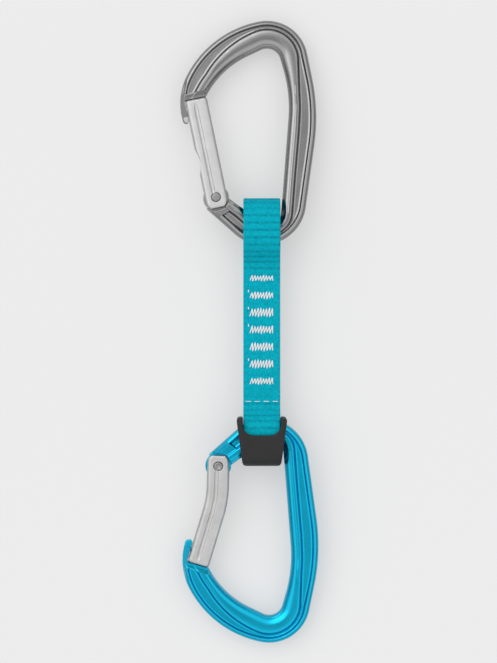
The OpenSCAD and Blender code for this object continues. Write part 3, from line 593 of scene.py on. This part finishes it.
def new_piece(name, points, faces, material, body, node, slot, normals=None, uvs=None):
    """Mesh piece that rides on a body and stands for a node of the part."""
    mesh = bpy.data.meshes.new(name)
    mesh.from_pydata((np.asarray(points) * MM).tolist(), [], np.asarray(faces).tolist())
    mesh.shade_smooth()
    if uvs is not None:
        layer = mesh.uv_layers.new(name="weave")
        vertex = np.empty(len(mesh.loops), np.int32)
        mesh.loops.foreach_get("vertex_index", vertex)
        layer.data.foreach_set("uv", np.asarray(uvs, np.float32)[vertex].ravel())
    if normals is not None:
        mesh.normals_split_custom_set_from_vertices(normals.tolist())
    mesh.materials.append(material)
    piece = new_object(name, mesh)
    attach(piece, body)
    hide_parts(node)


def carabiner_piece(name, side, shape, *rest):
    """Piece of a carabiner, from points, faces and perhaps normals in the carabiner's own axes."""
    points, faces, *normals = shape
    place = carabiner_place(side)
    if side == "lower":
        faces = faces[:, ::-1]
    turned_normals = place(normals[0], True) if normals else None
    new_piece(name, place(points), faces, *rest, normals=turned_normals)


def grid_faces(rows, columns, closed=False):
    """Quads of a tube of rings of points, which may also be closed from its last ring to its first."""
    i, k = np.ix_(np.arange(rows if closed else rows - 1), np.arange(columns))
    j, m = (i + 1) % rows, (k + 1) % columns
    quads = np.stack([i * columns + k + 0 * j, j * columns + k, j * columns + m, i * columns + m], -1)
    return quads.reshape(-1, 4)


def lathe(profile, sides=48):
    """Points and quads of a profile [radius, height] turned about Z, from its lower to its upper end."""
    angle = np.linspace(0, 2 * math.pi, sides, endpoint=False)
    p = np.array(profile, float)
    points = np.stack(
        [p[:, :1] * np.cos(angle), p[:, :1] * np.sin(angle), np.repeat(p[:, 1:], sides, 1)], -1
    ).reshape(-1, 3)
    return points, grid_faces(len(p), sides)[:, ::-1]


def tube(path, radii, sides=10):
    """Points and quads of a tube along a path, with a flattened section of radii across and up."""
    across = unit(np.cross(unit(np.gradient(path, axis=0)), (0, 0, 1)))
    angle = np.linspace(0, 2 * math.pi, sides, endpoint=False)
    ring = across[:, None, :] * (radii[0] * np.cos(angle))[None, :, None]
    ring = ring + np.array([0, 0, radii[1]]) * np.sin(angle)[None, :, None]
    taper = np.ones(len(path))
    taper[[0, -1]] = 0.05
    points = path[:, None, :] + ring * taper[:, None, None]
    return points.reshape(-1, 3), grid_faces(len(path), sides)


# Materials


class Shader:
    """A material's nodes, with short names for the ones in use here."""

    def __init__(self, name, color, roughness, metallic=0.0):
        self.material = bpy.data.materials.new(name)
        self.material.use_nodes = True
        self.tree = self.material.node_tree
        self.bsdf = self.tree.nodes["Principled BSDF"]
        self.give("Base Color", (*color, 1))
        self.give("Roughness", roughness)
        self.give("Metallic", metallic)

    def node(self, kind, **inputs):
        n = self.tree.nodes.new("ShaderNode" + kind)
        for key, value in inputs.items():
            self.put(n.inputs[key], value)
        return n

    def put(self, socket, value):
        if isinstance(value, bpy.types.NodeSocket):
            self.tree.links.new(value, socket)
        else:
            socket.default_value = value

    def give(self, name, value):
        """Sets an input of the surface."""
        self.put(self.bsdf.inputs[name], value)

    def place(self):
        return self.node("TexCoord").outputs["Object"]

    def weave(self):
        """Place across a strip, or round a thread, and place along it."""
        uv = self.node("UVMap")
        uv.uv_map = "weave"
        split = self.node("SeparateXYZ", Vector=uv.outputs["UV"])
        return split.outputs[0], split.outputs[1]

    def stretched(self, scale):
        n = self.node("Mapping", Vector=self.place(), Scale=scale)
        return n.outputs["Vector"]

    def noise(self, vector, scale, detail=2.0):
        n = self.node("TexNoise", Vector=vector, Scale=scale, Detail=detail)
        return n.outputs[0]

    def math(self, kind, a, b=0.0):
        n = self.node("Math")
        n.operation = kind
        self.put(n.inputs[0], a)
        self.put(n.inputs[1], b)
        return n.outputs[0]

    def add(self, a, b):
        return self.math("ADD", a, b)

    def times(self, a, b):
        return self.math("MULTIPLY", a, b)

    def ramp(self, factor, low, high, *colors):
        n = self.node("ValToRGB", Fac=factor)
        stops = n.color_ramp.elements
        stops[0].position, stops[1].position = low, high
        stops[0].color, stops[1].color = [(*c, 1) for c in colors]
        return n.outputs["Color"]

    def spread(self, factor, low, high, start=0.3, end=0.7):
        n = self.node("MapRange", Value=factor)
        for key, value in (("From Min", start), ("From Max", end), ("To Min", low), ("To Max", high)):
            n.inputs[key].default_value = value
        return n.outputs[0]

    def bump(self, height, depth, strength):
        n = self.node("Bump", Height=height, Distance=depth, Strength=strength)
        return n.outputs["Normal"]

    def flatness(self, level, steep):
        """1 on faces that lie flat in the piece's plane, falling to 0 on its walls."""
        normal = self.node("TexCoord").outputs["Normal"]
        up = self.math("ABSOLUTE", self.node("SeparateXYZ", Vector=normal).outputs[2])
        return self.spread(up, 0.0, 1.0, steep, level)

    def shaded(self, color, share, least):
        """A colour that is full where the share is 1, and at its least part where the share is 0."""
        n = self.node("VectorMath")
        n.operation = "SCALE"
        self.put(n.inputs[0], color)
        self.put(n.inputs["Scale"], self.spread(share, least, 1.0, 0.0, 1.0))
        return n.outputs[0]

    def pointiness(self):
        return self.node("NewGeometry").outputs["Pointiness"]


def anodised(name, color, worn, roughness, walls):
    """Bead-blasted and anodised aluminium: a fine grain, soft cloudy gloss, slightly polished edges,
    and painted shade that leaves the walls darker than the faces."""
    s = Shader(name, color, roughness, 1.0)
    grain = s.noise(s.place(), 6500.0, 3.0)
    cloud = s.noise(s.place(), 90.0, 4.0)
    edge = s.spread(s.pointiness(), 0.0, 1.0, 0.505, 0.56)
    # Painted shade: walls keep only the share of the colour given by walls; the paler edges are wear.
    dye_and_wall_shade = s.shaded(s.ramp(edge, 0.0, 1.0, color, worn), s.flatness(0.8, 0.3), walls)
    s.give("Base Color", dye_and_wall_shade)
    rough = s.spread(cloud, roughness - 0.04, roughness + 0.05)
    s.give("Roughness", s.add(rough, s.times(edge, -0.06)))
    s.give("Normal", s.bump(grain, 0.00002, 0.35))
    return s.material


def tumbled(name, color, dull, roughness, along):
    """Tumbled bare aluminium: fine drawn lines along the piece, handling scuffs, and painted shade that
    darkens the walls.
    """
    s = Shader(name, color, roughness, 1.0)
    lines = s.noise(s.stretched(along), 1.0, 3.0)
    cloud = s.noise(s.place(), 160.0, 5.0)
    # Painted shade: walls keep three quarters of the colour; the scuffs from the cloud are the metal's
    # own.
    face = s.shaded(s.ramp(cloud, 0.35, 0.7, dull, color), s.flatness(0.95, 0.4), 0.75)
    s.give("Base Color", face)
    s.give("Roughness", s.spread(lines, roughness - 0.06, roughness + 0.06))
    s.give("Normal", s.bump(lines, 0.00002, 0.4))
    return s.material


def woven(name, color, dark):
    """Nylon webbing: ribs across the strip, with painted shade in the grooves between them, and warp
    yarns along it that sway in the sewn stretch, with painted shade in the valleys between them.
    """
    s = Shader(name, color, 0.75)
    across, along = s.weave()
    height_y = s.node("SeparateXYZ", Vector=s.place()).outputs[1]
    off_middle = s.math("ABSOLUTE", s.math("SUBTRACT", height_y, SEWN_MIDDLE * MM))
    open_part = s.spread(off_middle, 0.0, 1.0, (SEWN_HALF - 3) * MM, (SEWN_HALF + 2) * MM)

    wander = s.times(s.math("SUBTRACT", s.noise(s.place(), 150.0, 2.0), 0.5), 0.22)
    turn = s.times(s.add(along, wander), math.pi / RIB_PITCH)
    ridge = s.math("ABSOLUTE", s.math("SINE", turn))
    painted_groove_shade = s.math("POWER", s.math("SUBTRACT", 1.0, ridge), 1.6)
    patchy = s.spread(s.noise(s.stretched((120.0, 300.0, 120.0)), 1.0, 2.0), 0.45, 1.0, 0.35, 0.6)
    share = s.add(s.times(open_part, 0.7), 0.3)
    painted_groove_shade = s.times(s.times(painted_groove_shade, patchy), share)

    sway = s.math("SINE", s.times(along, 2 * math.pi / SWAY_PITCH))
    warp = s.math("SINE", s.add(s.times(across, 2 * math.pi / WARP_PITCH), sway))
    pick = s.math("SINE", s.times(along, 2 * math.pi / PICK_PITCH))
    sewn_share = s.math("SUBTRACT", 1.25, open_part)
    warp = s.times(s.times(warp, 0.4), sewn_share)
    yarn = s.add(warp, s.times(pick, 0.12))
    fuzz = s.noise(s.place(), 2600.0, 3.0)
    height = s.add(s.add(yarn, 0.5), s.times(fuzz, 0.3))
    # Painted shade: the colour darkens where the yarns' bump is low, between the yarns; the noise is the
    # nylon's own tone.
    tone = s.add(s.times(yarn, 0.45), s.noise(s.place(), 900.0, 3.0))
    # Painted shade: the grooves between the ribs are darkened in the colour, less so in the sewn
    # stretch.
    tone = s.math("SUBTRACT", tone, s.times(painted_groove_shade, 0.45))
    s.give("Base Color", s.ramp(tone, -0.5, 0.8, dark, color))
    s.give("Normal", s.bump(height, 0.00012, 0.6))
    s.give("Specular IOR Level", 0.08)
    s.give("Sheen Weight", 0.02)
    s.give("Sheen Roughness", 0.4)
    s.give("Sheen Tint", (0.2, 0.85, 1.0, 1))
    return s.material


def sewing_thread(name, color, dark):
    """Twisted polyester thread, with painted shade in the grooves of its twist."""
    s = Shader(name, color, 0.6)
    around, along = s.weave()
    lay = s.times(along, 2 * math.pi / THREAD_LAY)
    twist = s.math("SINE", s.add(lay, s.times(around, 2 * math.pi)))
    # Painted shade: the colour darkens where the twist's bump is low.
    s.give("Base Color", s.ramp(s.spread(twist, 0.0, 1.0, -1.0, 1.0), 0.0, 0.7, dark, color))
    s.give("Normal", s.bump(twist, 0.00006, 0.6))
    return s.material


def rubber(name, color, worn):
    """Moulded rubber: matte, with a fine spark-eroded grain and paler edges."""
    s = Shader(name, color, 0.6)
    grain = s.noise(s.place(), 3200.0, 4.0)
    cloud = s.noise(s.place(), 150.0, 3.0)
    edge = s.spread(s.pointiness(), 0.0, 1.0, 0.51, 0.6)
    s.give("Base Color", s.ramp(edge, 0.0, 1.0, color, worn))
    s.give("Roughness", s.spread(cloud, 0.52, 0.66))
    s.give("Normal", s.bump(grain, 0.00004, 0.5))
    return s.material


# Pieces

# The last number of each anodised finish is the share of its colour that painted shade leaves on the
# walls.
GREY = anodised("grey_anodised", (0.35, 0.35, 0.353), (0.42, 0.42, 0.42), 0.24, 0.55)
BLUE = anodised("blue_anodised", (0.012, 0.5, 0.76), (0.04, 0.56, 0.8), 0.28, 0.78)
SILVER = tumbled("tumbled_aluminium", (0.68, 0.68, 0.677), (0.61, 0.61, 0.607), 0.52, (4000, 300, 4000))
STEEL = tumbled("rivet_steel", (0.42, 0.42, 0.42), (0.34, 0.34, 0.34), 0.4, (2500, 2500, 2500))
SPRING_STEEL = tumbled("spring_steel", (0.55, 0.55, 0.54), (0.45, 0.45, 0.44), 0.3, (3000, 3000, 3000))
TEAL = woven("teal_webbing", (0.0, 0.49, 0.63), (0.0, 0.24, 0.32))
THREAD = sewing_thread("white_thread", (0.93, 0.95, 0.96), (0.7, 0.75, 0.77))
RUBBER = rubber("black_rubber", (0.0085, 0.0085, 0.0088), (0.016, 0.016, 0.0164))


def belt_places(belt, start, step):
    """Points along a belt and the angles of its outward normal there."""
    points, angles = [], []
    for (wheel, first, turn), (begin, along, length, normal) in zip(*belt_parts(belt, start)):
        n = math.ceil(math.radians(turn) * abs(wheel[2]) / step)
        for k in range(n):
            angles.append(first - turn * k / n)
            points.append(on_wheel(wheel, angles[-1]))
        n = max(1, math.ceil(length / step))
        for k in range(n):
            angles.append(normal)
            points.append(begin + along * (length * k / n))
    points, angles = np.array(points), np.array(angles)
    apart = np.append(True, np.hypot(*np.diff(points, axis=0).T) > step / 50)
    return points[apart], angles[apart]


def first_crossing(t, values):
    """Place along each row of values where they first turn from positive to negative."""
    k = np.maximum(np.argmax(values < 0, axis=1), 1)
    row = np.arange(len(values))
    before, after = values[row, k - 1], values[row, k]
    return t[k - 1] + (t[k] - t[k - 1]) * before / (before - after)


def eased(count, start=True, end=True):
    """Numbers from 0 to 1 that crowd together at the start, the end or both."""
    t = np.linspace(0, 1, count)
    if start and end:
        return 0.5 - 0.5 * np.cos(math.pi * t)
    return 1 - np.cos(0.5 * math.pi * t) if start else np.sin(0.5 * math.pi * t)


def band_skin(full):
    """Rings of points round the forged section, from the nose to the hinge, with lines of points along
    the pocket's edges; and the first and last ring's place and direction."""
    points, angles = belt_places(OUTER_BELT, OUTER_START, 2.4 * GRAIN)
    inward = -np.stack([np.cos(np.radians(angles)), np.sin(np.radians(angles))], 1)
    t = np.linspace(0, 24, 241)
    x, y = (points[:, None, k] + inward[:, None, k] * t for k in (0, 1))
    depth = frame_depths(x, y)
    wide = first_crossing(t, depth[1])[:, None]
    edge = np.minimum(first_crossing(t, -depth[2])[:, None], wide - RIM_IN_W)
    tiny, foot = 0.004, RIM_OUT_W
    oval = (1 - BEAD_CREST) * (wide - edge)
    parts = [
        tiny + (foot - 0.5 - tiny) * eased(10, end=False) + 0 * wide,
        foot - 0.5 * (1 - np.linspace(0, 1, 9)[1:]) + 0 * wide,
        foot + (edge - foot) * eased(36)[1:],
        edge + 1.0 * eased(12, end=False)[1:],
        edge + 1.0 + (wide - oval - edge - 1.0) * np.linspace(0, 1, 5)[1:-1],
        wide - oval + (oval - tiny) * eased(18, start=False),
    ]
    a = np.concatenate(parts, 1)
    x, y = (points[:, None, k] + inward[:, None, k] * a for k in (0, 1))
    low, high = np.zeros_like(x), np.full_like(x, 5.4)
    for _ in range(22):
        z = (low + high) / 2
        outside = band_field(x, y, z) > 0
        low, high = np.where(outside, low, z), np.where(outside, z, high)
    plain = (np.abs(full(x, y, z)) < 0.004).all(1)
    middle = len(plain) // 2
    first = middle - np.argmin(plain[middle::-1]) + 1
    last = middle + np.argmin(plain[middle:]) - 1
    keep = slice(first, last + 1)
    ring = np.stack([x[keep], y[keep], z[keep]], -1)
    ring = np.concatenate([ring, (ring * (1, 1, -1))[:, ::-1]], 1)
    rows, columns = ring.shape[:2]
    skin_points = ring.reshape(-1, 3)
    normals = unit(gradient(band_field, skin_points))
    along = np.stack([-inward[:, 1], inward[:, 0]], 1)
    ends = [(ring[0, :, :2], along[first]), (ring[-1, :, :2], -along[last])]
    return (skin_points, grid_faces(rows, columns)[:, ::-1], normals), ends


def joined(shapes):
    """One mesh of several, each with points, faces and the points' normals or places in the weave."""
    points, faces, rest = zip(*shapes)
    starts = np.cumsum([0] + [len(p) for p in points])
    faces = [f + n for f, n in zip(faces, starts)]
    return np.concatenate(points), np.concatenate(faces), np.concatenate(rest)


def end_skin(field, low, high, ring, along):
    """Skin of one end of the frame, which slips under the ring where the plain section starts."""
    low = (min(low[0], ring[:, 0].min() - 0.6), min(low[1], ring[:, 1].min() - 0.6), -5.2)
    high = (max(high[0], ring[:, 0].max() + 0.6), max(high[1], ring[:, 1].max() + 0.6), 5.2)
    points, faces, normals = skin(field, low, high, 0.8 * GRAIN)
    past = (points[:, :2] - ring[0]) @ along
    sunk = 0.03 * np.clip(past / 0.15, 0, 1)
    return points - normals * sunk[:, None], faces[(past[faces] < 0.3).any(1)], normals


def frame_skin(lean, end_lean, hinge_wall, facet_rise):
    """Skin of a frame: the plain section as rings, and its two ends."""
    full = frame_field(lean, end_lean, hinge_wall, facet_rise)
    band, (nose_end, hinge_end) = band_skin(full)
    lip = on_wheel(NOSE_WHEEL, OUTER_START)
    nose = end_skin(full, (NOSE_X - 1, lip[1] - 4, 0), (lip[0], lip[1], 0), *nose_end)
    hinge = end_skin(full, (-9, -9, 0), (9, 8, 0), *hinge_end)
    return joined([band, nose, hinge])


def add_frames():
    shape = frame_skin(GATE_TILT, 0, POCKET_WALL, FACET_RISE)
    carabiner_piece("grey_frame", "upper", shape, GREY, "upper_carabiner", "upper_body", "grey_frame")
    shape = frame_skin(BENT_TILT, BEND_ANGLE - BEND_LEAN, LONG_WALL, FLAT_RISE)
    carabiner_piece("blue_frame", "lower", shape, BLUE, "lower_carabiner", "lower_body", "blue_frame")


def add_gates():
    for name, side, bent in (("straight_gate", "upper", False), ("bent_gate", "lower", True)):
        shape = skin(gate_field(bent), *GATE_ROOM, 0.75 * GRAIN)
        carabiner_piece(name, side, shape, SILVER, side + "_gate", side + "_gate", "gate")


def rivet_profile(ring):
    """Countersunk rivet; a peened one has a small hollow with a raised ring."""
    half = GATE_T / 2
    head = RIVET_HEAD_D / 2
    face = [(head - 0.2, half - 0.22), (head - 0.32, half + 0.02), (head - 0.6, half + 0.06)]
    if ring:
        face += [(1.15, half + 0.06), (0.95, half - 0.05), (0.8, half - 0.3)]
        face += [(0.3, half - 0.35), (0.0, half - 0.35)]
    else:
        face += [(0.6, half + 0.08), (0.0, half + 0.08)]
    up = [(RIVET_D / 2, half - 0.8)] + face
    return [(r, -z) for r, z in reversed(up)] + up


def add_rivets():
    for side, ring in (("upper", False), ("lower", True)):
        shape = lathe(rivet_profile(ring))
        body, node = side + "_carabiner", side + "_gate_pin"
        carabiner_piece(side + "_rivet", side, shape, STEEL, body, node, "rivet")


def dress_inner_parts():
    """Plungers and springs stay as they are in the part, with a finish of their own."""
    for side, lean in (("upper", GATE_TILT), ("lower", BENT_TILT)):
        for node, material in ((side + "_gate_plunger", STEEL), (side + "_gate_spring", SPRING_STEEL)):
            mesh = frame["nodes"][node].data
            mesh.materials.clear()
            mesh.materials.append(material)
        spring = frame["nodes"][side + "_gate_spring"]
        place = carabiner_place(side)
        along = np.array([[-sind(lean), cosd(lean), 0.0]])
        axis = place(along, True)[0]
        end = place(BORE_END * along)[0] * MM
        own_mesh(spring)


def arc_points(centre, r, start, end):
    """Points of an arc, about 2 degrees apart."""
    n = max(2, int(abs(end - start) / 2))
    a = np.radians(np.linspace(start, end, n + 1))
    return np.stack([centre[0] + r * np.cos(a), centre[1] + r * np.sin(a)], 1)


def eye_line(gap):
    """Middle line of the webbing over half an eye, from its crest at y = 0 to the sewn stretch."""
    mid = (gap + STRAP_T) / 2
    lift = (gap - SEWN_GAP) / 2
    throat = THROAT_LEN * lift / ((UPPER_EYE_GAP - SEWN_GAP) / 2)
    angle = 2 * math.degrees(math.atan(lift / throat))
    r = throat / 2 / sind(angle)
    crest = -mid - STRAP_T / 2
    shoulder = crest - EYE_STRAIGHT
    return np.concatenate(
        [
            arc_points((crest, 0), mid, 0, 90),
            arc_points((shoulder, mid - r), r, 90, 90 + angle),
            arc_points((shoulder - throat, mid - lift + r), r, angle - 90, -90),
        ]
    )


def even(line, step):
    """A closed line with points at even distances."""
    line = np.concatenate([line, line[:1]])
    s = lengths(line)
    t = np.linspace(0, s[-1], int(s[-1] / step), endpoint=False)
    return np.stack([np.interp(t, s, line[:, 0]), np.interp(t, s, line[:, 1])], 1), t


def sling_line():
    """Closed middle line of the sling in Y and Z, from the upper crest down the front."""
    end = SLING_LEN / 2
    upper = eye_line(UPPER_EYE_GAP) + (end, 0)
    lower = eye_line(LOWER_EYE_GAP) * (-1, 1) + (-end, 0)
    front = np.concatenate([upper, lower[::-1]])
    back = front[::-1] * (1, -1)
    return np.concatenate([front, back[1:-1]])


def add_sling():
    """Webbing strip with rounded selvedges, whose faces sink between the ribs."""
    line, s = even(sling_line(), 0.3)
    along = unit(np.roll(line, -1, 0) - np.roll(line, 1, 0))
    normal = np.stack([-along[:, 1], along[:, 0]], 1)
    half_w, half_t = SLING_W / 2, STRAP_T / 2
    flat = np.linspace(-half_w + SELVEDGE, half_w - SELVEDGE, 40)
    bend = np.radians(np.linspace(-90, 90, 7))[1:-1]
    round_u = half_w - SELVEDGE + SELVEDGE * np.cos(bend)
    ring_u = np.concatenate([flat, round_u, flat[::-1], -round_u[::-1]])
    ring_t = np.concatenate([-np.ones(40), np.sin(bend), np.ones(40), np.sin(bend)[::-1]]) * half_t
    sewn = np.clip((SEWN_HALF - np.abs(line[:, 0] - SEWN_MIDDLE)) / SEWN_FADE, 0, 1)
    rib = np.abs(np.sin(math.pi * s / RIB_PITCH)) ** 0.6
    sink = RIB_DEPTH * (1 - rib) * (1 - 0.6 * sewn)
    t = ring_t * (1 - sink[:, None] / half_t)
    y = line[:, :1] + normal[:, :1] * t
    z = line[:, 1:] + normal[:, 1:] * t
    x = np.broadcast_to(ring_u, t.shape)
    points = np.stack([x, y, z], -1).reshape(-1, 3) + SLING_AT
    uvs = np.stack([x, np.broadcast_to(s[:, None], t.shape)], -1).reshape(-1, 2)
    faces = grid_faces(len(line), len(ring_u), closed=True)
    new_piece("webbing_sling", points, faces, TEAL, "sling", "sling", "webbing", uvs=uvs)


def tack_path(number):
    """Zigzag of one bartack in the plane of the webbing, leaning over and with slightly uneven teeth."""
    height = TACK_HEIGHTS[number]
    step = TACK_W / (2 * TACK_TEETH)
    path = []
    for i in range(2 * TACK_TEETH + 1):
        uneven = 0.25 * math.sin(2.3 * i + 1.7 * number)
        y = (1 if i % 2 else -1) * (height / 2 - 0.2) + uneven
        path.append((i * step - TACK_W / 2 + TACK_LEAN * y, y))
    return path


def stitch_line(corners, face, side):
    """Points of a thread that lies on a face of the sling and dips in at its corners."""
    points = []
    for (x0, y0), (x1, y1) in zip(corners, corners[1:]):
        for t in np.linspace(0, 1, 9)[:-1]:
            lift = STITCH_LIFT * math.sin(math.pi * t) - STITCH_DIP
            points.append((x0 + (x1 - x0) * t, y0 + (y1 - y0) * t, face + lift))
    points.append((*corners[-1], face - STITCH_DIP))
    p = np.array(points)
    p[:, 2] *= side
    return p


def add_stitches():
    """Zigzag bartacks and the running stitches below them, on both faces of the sling."""
    face = STRAP_T + SEWN_GAP / 2
    for number in range(BARTACK_COUNT):
        lines = []
        middle = BARTACK_FIRST - number * BARTACK_PITCH
        for side in (1, -1):
            corners = [(x, y + middle) for x, y in tack_path(number)]
            lines.append(stitch_line(corners, face, side))
            if number in LOOSE_STARTS:
                start = np.array((-TACK_W / 2, middle)) + LOOSE_AT
                lines.append(stitch_line([start, start + LOOSE_WAY], face, side))
        count = number + 1
        thread_piece(f"bartack_thread_{count}", lines, f"bartack_{count}", TACK_THREAD)
    lines = []
    for side in (1, -1):
        for i in range(RUNNING_COUNT):
            x = (i - (RUNNING_COUNT - 1) / 2) * RUNNING_PITCH
            half = RUNNING_LEN / 2
            lines.append(stitch_line([(x - half, -RUNNING_AT), (x + half, -RUNNING_AT)], face, side))
    thread_piece("end_stitch_thread", lines, "end_stitch", RUNNING_THREAD)


def thread_piece(name, lines, node, thick):
    """Piece of thread along some lines."""
    sides = 10
    shapes = []
    for line in lines:
        round_u = np.tile(np.arange(sides) / sides, len(line))
        uvs = np.stack([round_u, np.repeat(lengths(line), sides)], 1)
        shapes.append((*tube(line + SLING_AT, (thick, 0.75 * thick), sides), uvs))
    points, faces, uvs = joined(shapes)
    new_piece(name, points, faces, THREAD, "sling", node, "thread", uvs=uvs)


def add_keeper():
    half = KEEPER_T / 2 + 1
    low, high = (-KEEPER_TOP_W / 2 - 1, -1, -half), (KEEPER_TOP_W / 2 + 1, KEEPER_LEN + 1, half)
    points, faces, normals = skin(keeper_field, low, high, GRAIN)
    end_y = -SLING_LEN / 2 - KEEPER_GAP - KEEPER_FLOOR
    points = points + SLING_AT + (0, end_y, 0)
    new_piece("rubber_keeper", points, faces, RUBBER, "sling", "keeper", "keeper", normals=normals)


# Floor, light and camera


def add_stage():
    """Pale floor, whose shadows are lightened where it is seen directly or in the metal."""
    s = Shader("pale_floor", (0.82, 0.82, 0.82), 0.9)
    tint = s.noise(s.place(), 3.0, 2.0)
    paint = s.ramp(tint, 0.3, 0.7, (0.815, 0.815, 0.815), (0.825, 0.825, 0.825))
    s.give("Base Color", paint)
    s.give("Specular IOR Level", 0.1)
    glow = s.node("Emission")
    glow.inputs["Color"].default_value = (0.855, 0.855, 0.855, 1)
    path = s.node("LightPath").outputs
    seen = s.math("MAXIMUM", path["Is Camera Ray"], path["Is Glossy Ray"])
    seen = s.math("MAXIMUM", seen, path["Is Transmission Ray"])
    mix = s.node("MixShader", Fac=s.times(seen, 0.5))
    s.put(mix.inputs[1], s.bsdf.outputs[0])
    s.put(mix.inputs[2], glow.outputs[0])
    s.put(s.tree.nodes["Material Output"].inputs["Surface"], mix.outputs[0])
    half = FLOOR_HALF
    mesh = bpy.data.meshes.new("floor")
    corners = [(-half, -half), (half, -half), (half, half), (-half, half)]
    mesh.from_pydata([(x, y, FLOOR_Z) for x, y in corners], [], [(0, 1, 2, 3)])
    mesh.materials.append(s.material)
    floor = new_object("floor", mesh)


def add_light():
    """Soft studio: a bright ring of sky round a darker top, and one broad lamp."""
    world = bpy.data.worlds.new("studio")
    bpy.context.scene.world = world
    world.use_nodes = True
    tree = world.node_tree
    background = tree.nodes["Background"]
    where = tree.nodes.new("ShaderNodeTexCoord")
    split = tree.nodes.new("ShaderNodeSeparateXYZ")
    ramp = tree.nodes.new("ShaderNodeValToRGB")
    tree.links.new(where.outputs["Generated"], split.inputs[0])
    tree.links.new(split.outputs["Z"], ramp.inputs["Fac"])
    tree.links.new(ramp.outputs["Color"], background.inputs["Color"])
    stops = ramp.color_ramp.elements
    stops[0].position, stops[0].color = 0.0, (HORIZON, HORIZON, HORIZON, 1)
    stops[1].position, stops[1].color = 1.0, (ZENITH, ZENITH, ZENITH, 1)
    for position, level in SKY:
        stops.new(position).color = (level, level, level, 1)
    background.inputs["Strength"].default_value = SKY_STRENGTH
    key = bpy.data.lights.new("key", "SUN")
    key.energy = LAMP_STRENGTH
    key.angle = math.radians(LAMP_SPREAD)
    x, y, z = LAMP_AT
    lamp = new_object("key", key)
    lamp.rotation_euler = (math.atan2(math.hypot(x, y), z), 0.0, math.atan2(x, -y))


def add_camera():
    """Camera straight above, at the height where the picture has the photo's scale."""
    camera = bpy.data.cameras.new("camera")
    camera.lens = LENS
    camera.sensor_width = SENSOR
    camera.clip_end = 5 * FLOOR_HALF
    x, y, z = np.array(CAMERA_AIM) * MM
    eye = new_object("camera", camera)
    eye.location = (x, y, z + PIXEL * PICTURE_H * MM * LENS / SENSOR)
    bpy.context.scene.camera = eye


add_frames()
add_gates()
add_rivets()
dress_inner_parts()
add_sling()
add_stitches()
add_keeper()
add_stage()
add_light()
add_camera()

bpy.context.scene.view_settings.view_transform = "Standard"
